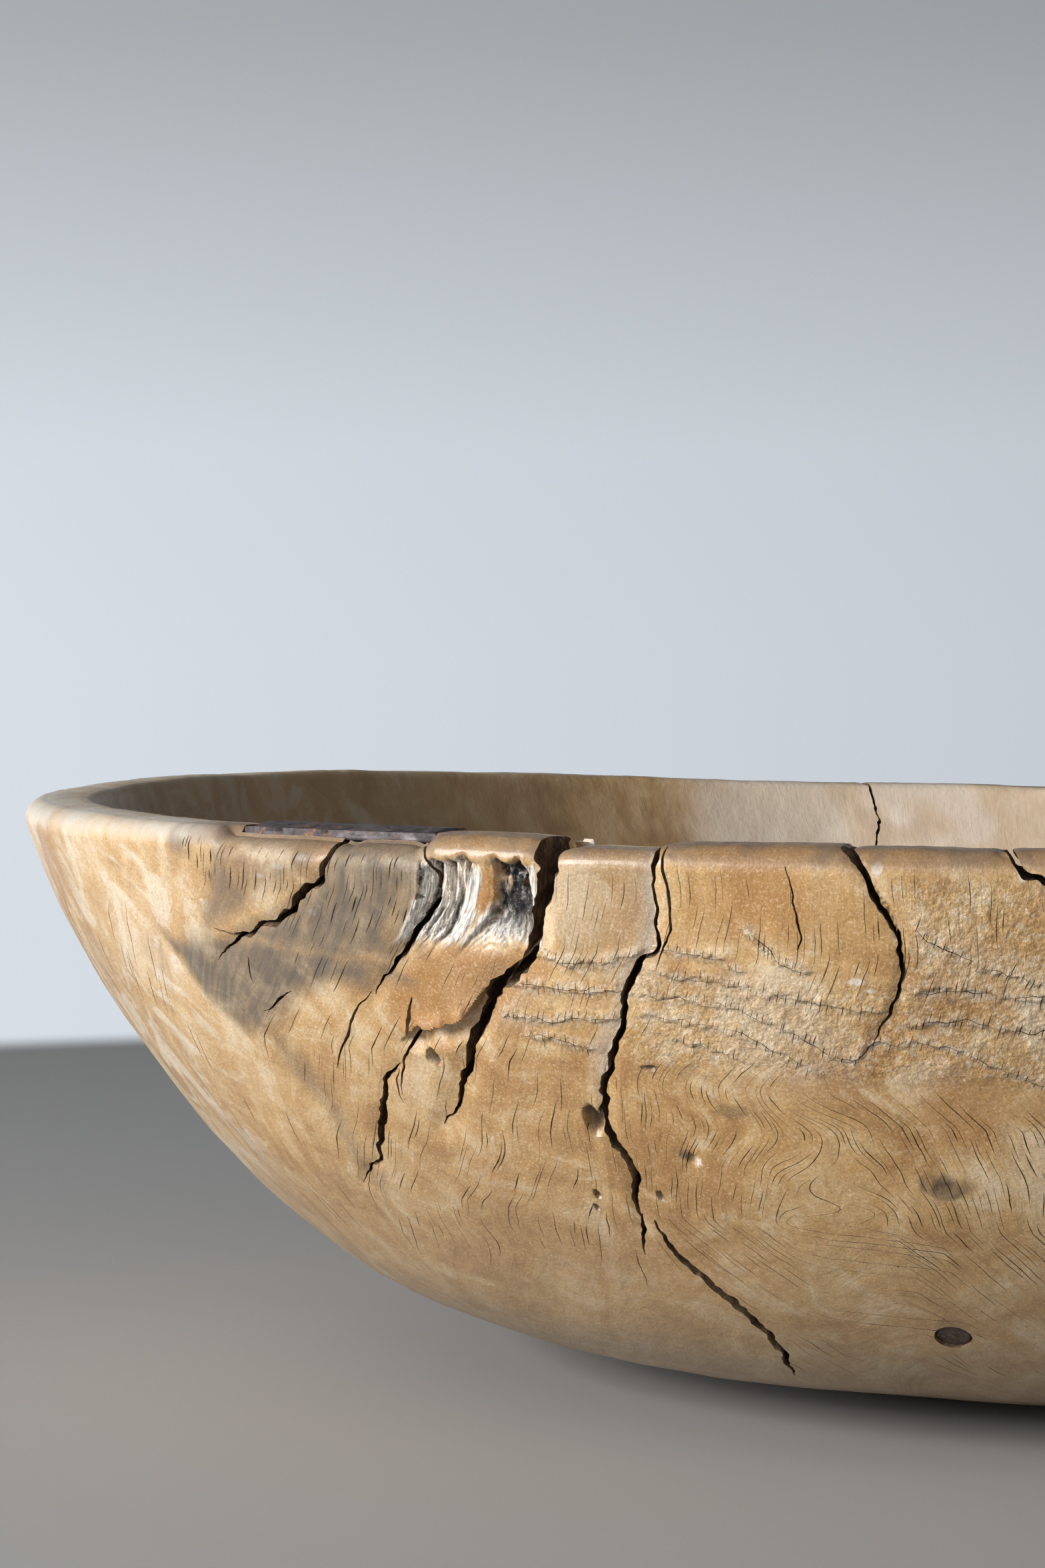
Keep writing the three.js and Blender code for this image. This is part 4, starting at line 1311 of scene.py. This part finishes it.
def torn_wood():
    """The faces inside the cracks: dry and splintered, paler towards the outside as painted light at the
    crack's mouth, and dark deeper in as painted shade.
    """
    s = Surface("torn wood")
    solid, grain, depth = s.solid(), s.attribute("grain"), s.attribute("place", 2)
    fibre = s.noise(grain, 1.1, 5, 0.7, 0.5)
    clump = s.noise(solid, 160, 4, 0.6)
    tone = s.plus(s.times(fibre, 0.6), s.times(clump, 0.4))
    colour = s.ramp(tone, [(0.4, (0.05, 0.028, 0.015)), (0.5, (0.15, 0.09, 0.05)), (0.6, (0.34, 0.22, 0.13))])
    # painted light: the faces within 3 mm of the outside are paler, standing in for the light at the crack's
    # mouth
    outer = s.times(s.step(depth, 3.0, 0.1), s.step(clump, 0.4, 0.6, 0.2, 1))
    colour = s.mix(s.times(outer, 0.5), colour, (0.42, 0.3, 0.18))
    s.feed(s.shader.inputs["Base Color"], colour)
    s.feed(s.shader.inputs["Roughness"], s.step(fibre, 0.3, 0.7, 0.7, 0.9))
    s.shader.inputs["Specular IOR Level"].default_value = 0.25
    height = s.plus(fibre, s.times(s.noise(solid, 700, 4, 0.7), 0.5))
    s.feed(s.shader.inputs["Normal"], s.bump(height, 0.0012, 0.9))
    return s.material


def forged_iron(name, rust_share):
    """Dark hammered iron; rust_share is how strong its patches of rust are."""
    s = Surface(name)
    solid = s.solid()
    scale = s.noise(solid, 210, 5, 0.65, 0.4)
    grit = s.noise(solid, 1300, 4, 0.7)
    colour = s.ramp(scale, [
        (0.36, (0.035, 0.026, 0.026)), (0.5, (0.06, 0.048, 0.05)), (0.66, (0.105, 0.09, 0.095)),
    ])
    patch = s.times(s.step(s.noise(solid, 150, 5, 0.7, 0.8), 0.56, 0.68),
                   s.step(grit, 0.35, 0.6, 0.4, 1))
    rust = s.times(patch, rust_share)
    rust_colour = s.mix(s.step(grit, 0.4, 0.62), (0.11, 0.035, 0.014), (0.42, 0.15, 0.045))
    s.feed(s.shader.inputs["Base Color"], s.mix(rust, colour, rust_colour))
    s.feed(s.shader.inputs["Metallic"], s.minus(0.3, s.times(rust, 0.3)))
    rough = s.plus(s.step(scale, 0.3, 0.7, 0.6, 0.46), s.times(rust, 0.3))
    s.feed(s.shader.inputs["Roughness"], rough)
    height = s.plus(scale, s.times(grit, 0.35))
    s.feed(s.shader.inputs["Normal"], s.bump(height, 0.0003, 0.6))
    return s.material


def dead_wood():
    """The dark, nearly smooth wood of the knot."""
    s = Surface("dead knot wood")
    solid = s.solid()
    rings = s.noise(solid, 520, 4, 0.6, 1.5)
    colour = s.ramp(rings, [
        (0.38, (0.02, 0.012, 0.009)), (0.52, (0.055, 0.033, 0.022)), (0.68, (0.12, 0.075, 0.05)),
    ])
    s.feed(s.shader.inputs["Base Color"], colour)
    s.feed(s.shader.inputs["Roughness"], s.step(rings, 0.3, 0.7, 0.34, 0.6))
    s.feed(s.shader.inputs["Normal"], s.bump(rings, 0.0004, 0.7))
    return s.material


wood, torn = waxed_wood(), torn_wood()
strap_iron = forged_iron("forged iron strap", 0.9)
nail_iron = forged_iron("forged iron nail", 0.6)
knot_wood = dead_wood()

# ---- the bowl ------------------------------------------------------------------------------------

CHECK_ZONES = [
    # count, bearings, drops, length, width, depth
    [380, (-4, 16), (60, 116), (5, 17), (0.08, 0.28), (0.6, 1.6)],
    [170, (14, 23.5), (56, 84), (3, 12), (0.08, 0.28), (0.6, 1.4)],
    [130, (14, 24), (84, 122), (5, 15), (0.08, 0.24), (0.6, 1.4)],
    [85, (-4, 18.4), (3, 31), (4, 13), (0.08, 0.22), (0.6, 1.4)],
    [60, (-4, 23), (116, 170), (5, 14), (0.08, 0.24), (0.6, 1.6)],
    [170, (25, 47), (48, 122), (5, 17), (0.08, 0.32), (0.8, 2.0)],
    [60, (31.5, 41), (4, 34), (3, 10), (0.08, 0.26), (0.8, 1.6)],
    [40, (19.8, 24.0), (4, 26), (5, 12), (0.14, 0.36), (0.6, 1.6)],
    [30, (19.8, 24.2), (26, 50), (3, 9), (0.06, 0.24), (0.6, 1.4)],
    [26, (26, 31), (32, 46), (2, 7), (0.05, 0.16), (0.5, 1.0)],
    [60, (38, 46.4), (1, 15), (2, 8), (0.14, 0.5), (0.7, 1.8)],
    [34, (43.4, 47.6), (-1, 9), (2, 7), (0.25, 0.6), (0.8, 2.0)],
    [60, (31.6, 37.5), (0.5, 20), (1.5, 6), (0.12, 0.42), (0.7, 1.6)],
    [24, (48, 60), (10, 120), (8, 20), (0.2, 0.4), (1.2, 2.4)],
]
HIDDEN_CHECK_ZONES = [
    [100, (-178, -6), (6, 190), (8, 28), (0.3, 0.7), (1.2, 2.8)],
    [70, (62, 178), (6, 190), (8, 28), (0.3, 0.7), (1.2, 2.8)],
]
CHECK_SPACING = 1.1     # checks keep this far apart, in mm
HAIRLINE = 0.04         # the width that a check keeps at its ends


def crazed_blades():
    """Fine jagged splits along the crazed lines."""
    rng = np.random.default_rng(31)
    blades = []
    for rows in RIDGES:
        route = np.array(rows, float)
        run = run_length(unrolled(route))
        start = rng.uniform(0, 3)
        while start < run[-1] - 5:
            stop = min(start + rng.uniform(9, 24), run[-1])
            at = np.linspace(start, stop, 9)
            wide = rng.uniform(0.14, 0.3) * np.sin(math.pi * np.linspace(0.05, 0.95, 9)) ** 0.5
            line = np.column_stack([np.interp(at, run, route[:, 0]), np.interp(at, run, route[:, 1]), wide])
            blades.append(blade(line, depth=1.6, lean=0.0, jag=0.7, step=0.45,
                                levels=[-3, -0.5, 0.5, 1.1, 1.6], seed=300 + len(blades)))
            start = stop + rng.uniform(1.5, 5)
    return blades


def stitch_blades():
    """Rows of short cross splits, like stitches, along the crazed lines."""
    rng = np.random.default_rng(37)
    blades = []
    for rows in RIDGES:
        route = np.array(rows, float)
        run = run_length(unrolled(route))
        at = rng.uniform(0, 1.5)
        lean = rng.uniform(0.1, 0.5)
        while at < run[-1]:
            length = rng.uniform(1.4, 4.4)
            drop = np.interp(at, run, route[:, 1]) + rng.uniform(-1.4, 1.4)
            down = np.linspace(-0.5, 0.5, 4) * length
            bearing = np.interp(at, run, route[:, 0]) + np.degrees(lean * down / RIM_RADIUS)
            wide = rng.uniform(0.12, 0.26) * np.array([0.4, 1, 0.9, 0.3])
            line = np.column_stack([bearing, drop + down, wide])
            blades.append(blade(line, depth=0.9, lean=0.0, jag=0.1, step=0.6,
                                levels=[-3, -0.4, 0.4, 0.9], seed=700 + len(blades)))
            at += rng.uniform(1.1, 2.6)
    return blades


def check_blades():
    """Short fine drying checks that follow the grain and keep clear of one another."""
    rng = np.random.default_rng(20)
    taken = np.zeros((0, 2))
    blades = []
    zones = CHECK_ZONES + HIDDEN_CHECK_ZONES
    for count, bearings, drops, lengths, widths, depths in zones:
        for _ in range(count):
            bearing, drop = rng.uniform(*bearings), rng.uniform(*drops)
            length, width, depth = rng.uniform(*lengths), rng.uniform(*widths), rng.uniform(*depths)
            line = along_grain(bearing, drop, length)
            spots = unrolled(line)
            apart = np.hypot(*(spots[:, None] - taken[None]).transpose(2, 0, 1))
            if (apart < CHECK_SPACING).any():
                continue
            taken = np.concatenate([taken, spots])
            t = np.linspace(0, 1, len(line))
            wide = HAIRLINE + width * np.sin(math.pi * t) ** 0.7
            blades.append(blade(np.column_stack([line, wide]), depth, lean=0.0, jag=0.12, step=0.9,
                                levels=[-4, -0.5, 0.6, depth * 0.6, depth], seed=100 + len(blades)))
    return blades


bowl = make_object("bowl_body_visual", *bowl_blank(), [wood, torn])
cracks = [blade(route, depth, lean, jag=0.55, step=0.55, levels=levels_to(depth, 13), seed=60 + k)
          for k, (depth, lean, route) in enumerate(CRACKS)]
subtract(bowl, *joined(cracks), torn)
side_cracks = [blade(route, depth, lean, jag=0.4, step=0.6, levels=levels_to(depth, 7), seed=90 + k)
               for k, (depth, lean, route) in enumerate(SIDE_CRACKS)]
subtract(bowl, *joined(side_cracks), torn)
subtract(bowl, *joined([strap_solid(GAP, False), knot_solid(GAP, False)]), torn)
subtract(bowl, *joined([nail_solid(b, GAP, False) for b in NAILS["bearings"]]), torn)
subtract(bowl, *joined(crazed_blades()), torn)
subtract(bowl, *joined(stitch_blades()), torn)
subtract(bowl, *joined(check_blades()), torn)
drop_crumbs(bowl)
smooth(bowl, 38)
dress_with_places(bowl)
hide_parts("bowl_body")
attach(bowl, "root")

# ---- the strap, its nails and the knot -------------------------------------------------------------


def small_piece(node, solid, material, sharp):
    """Makes a small piece that stands for a node; edges sharper than sharp degrees stay sharp."""
    piece = make_object(node + "_visual", *solid, [material])
    smooth(piece, sharp)
    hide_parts(node)
    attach(piece, "root")
    return piece


strap = small_piece("rim_strap", strap_solid(0.0, True), strap_iron, 40)
for hole in NAILS["bearings"]:
    subtract(strap, *nail_solid(hole, GAP, False), strap_iron)
for k, nail_bearing in enumerate(NAILS["bearings"]):
    small_piece(f"strap_nail_{k + 1}", nail_solid(nail_bearing, 0.0, True), nail_iron, 40)
small_piece("knot_plug", knot_solid(0.0, True), knot_wood, 50)

# ---- studio ----------------------------------------------------------------------------------------

TABLE_EDGE = 1.04       # metres from the middle, where the floor fades out
EDGE_SOFT = 0.05
FLOOR_GREY = (0.335, 0.335, 0.335)


def studio_floor():
    """A plain pale disc that fades out at its edge."""
    count = 96
    turn = np.linspace(0, 2 * math.pi, count + 1)[:-1]
    reach = (TABLE_EDGE + 2 * EDGE_SOFT) / MM
    rim = np.stack([reach * np.cos(turn), reach * np.sin(turn), np.zeros(count)], -1)
    points = np.concatenate([rim, [[0, 0, 0]]])
    k = np.arange(count)
    quads = np.stack([k, (k + 1) % count, np.full(count, count), np.full(count, count)], -1)
    s = Surface("pale floor")
    s.shader.inputs["Base Color"].default_value = (*FLOOR_GREY, 1)
    s.shader.inputs["Roughness"].default_value = 0.75
    length = s.add("ShaderNodeVectorMath", operation="LENGTH")
    s.link(s.solid(), length.inputs[0])
    clear = s.add("ShaderNodeBsdfTransparent")
    blend = s.add("ShaderNodeMixShader")
    fade = s.step(length.outputs["Value"], TABLE_EDGE - EDGE_SOFT, TABLE_EDGE + EDGE_SOFT)
    s.link(fade, blend.inputs[0])
    s.link(s.shader.outputs["BSDF"], blend.inputs[1])
    s.link(clear.outputs[0], blend.inputs[2])
    output = next(n for n in s.tree.nodes if n.type == "OUTPUT_MATERIAL")
    s.link(blend.outputs[0], output.inputs["Surface"])
    floor = make_object("floor", points, quads, [s.material])


def soft_light(name, place, aim, size, power, colour):
    """An area light at a place, turned towards another."""
    data = bpy.data.lights.new(name, "AREA")
    data.shape = "RECTANGLE"
    data.size, data.size_y = size
    data.energy = power
    data.color = colour
    light = bpy.data.objects.new(name, data)
    light.location = place
    light.rotation_euler = (Vector(aim) - Vector(place)).to_track_quat("-Z", "Y").to_euler()
    bpy.context.scene.collection.objects.link(light)


# The backdrop: colours from the horizon up, and how bright it is from left to right.
SKY = [(0.0, (0.66, 0.71, 0.77)), (0.05, (0.64, 0.69, 0.74)), (0.15, (0.39, 0.415, 0.435)),
       (0.3, (0.2, 0.21, 0.22)), (1.0, (0.16, 0.165, 0.17))]
SHADES = [(0.35, 1.06), (0.55, 0.77), (0.78, 0.5)]
BRIGHTEST = 1.1         # a ramp holds 0 to 1, so the shades are divided by this and multiplied again


def surroundings():
    """The backdrop, pale at the horizon, darker above and to the right."""
    world = bpy.data.worlds.new("studio")
    bpy.context.scene.world = world
    world.use_nodes = True
    tree = world.node_tree
    back = tree.nodes["Background"]
    coordinates = tree.nodes.new("ShaderNodeTexCoord")
    split = tree.nodes.new("ShaderNodeSeparateXYZ")
    ramp = tree.nodes.new("ShaderNodeValToRGB")
    tree.links.new(coordinates.outputs["Generated"], split.inputs[0])
    tree.links.new(split.outputs["Z"], ramp.inputs["Fac"])
    fill_ramp(ramp, SKY)
    tree.links.new(ramp.outputs["Color"], back.inputs["Color"])
    from_left = tree.nodes.new("ShaderNodeMapRange")
    tree.links.new(split.outputs["X"], from_left.inputs["Value"])
    for key, value in (("From Min", -1), ("From Max", 1), ("To Min", 0), ("To Max", 1)):
        from_left.inputs[key].default_value = value
    sideways = tree.nodes.new("ShaderNodeValToRGB")
    tree.links.new(from_left.outputs["Result"], sideways.inputs["Fac"])
    fill_ramp(sideways, [(place, (shade / BRIGHTEST,) * 3) for place, shade in SHADES])
    stronger = tree.nodes.new("ShaderNodeMath")
    stronger.operation = "MULTIPLY"
    tree.links.new(sideways.outputs["Color"], stronger.inputs[0])
    stronger.inputs[1].default_value = BRIGHTEST
    tree.links.new(stronger.outputs[0], back.inputs["Strength"])


# Name, place, what it is aimed at, size, power in watts and colour.
LIGHTS = [
    ["window", (-1.95, -1.2, 0.74), (0, -0.1, 0.1), (1.2, 0.85), 76, (1.0, 0.985, 0.97)],
    ["overhead", (0.0, -1.1, 1.3), (0, -0.25, 0.15), (1.8, 0.14), 1.5, (0.95, 0.98, 1.0)],
    ["strip", (-0.75, -1.6, 0.5), (0, -0.28, 0.15), (1.9, 0.09), 5, (0.97, 0.98, 1.0)],
    ["low fill", (0.5, -2.3, 0.12), (0, -0.2, 0.06), (2.4, 0.2), 3, (1.0, 0.97, 0.94)],
]

CAMERA_PLACE = (0.0, -1.221, 0.201)
CAMERA_YAW = 7.61       # degrees to the left of +Y
CAMERA_PITCH = 1.73     # degrees down
CAMERA_LENS = 94.9      # mm on a 36 mm long side

studio_floor()
surroundings()
for row in LIGHTS:
    soft_light(*row)

camera_data = bpy.data.cameras.new("camera")
camera_data.lens = CAMERA_LENS
camera_data.sensor_width = 36
camera_data.clip_start, camera_data.clip_end = 0.01, 50
camera = bpy.data.objects.new("camera", camera_data)
yaw, pitch = math.radians(CAMERA_YAW), math.radians(CAMERA_PITCH)
forward = Vector((-math.sin(yaw) * math.cos(pitch), math.cos(yaw) * math.cos(pitch), -math.sin(pitch)))
camera.location = CAMERA_PLACE
camera.rotation_euler = forward.to_track_quat("-Z", "Y").to_euler()
bpy.context.scene.collection.objects.link(camera)
bpy.context.scene.camera = camera
bpy.context.scene.view_settings.view_transform = "Standard"
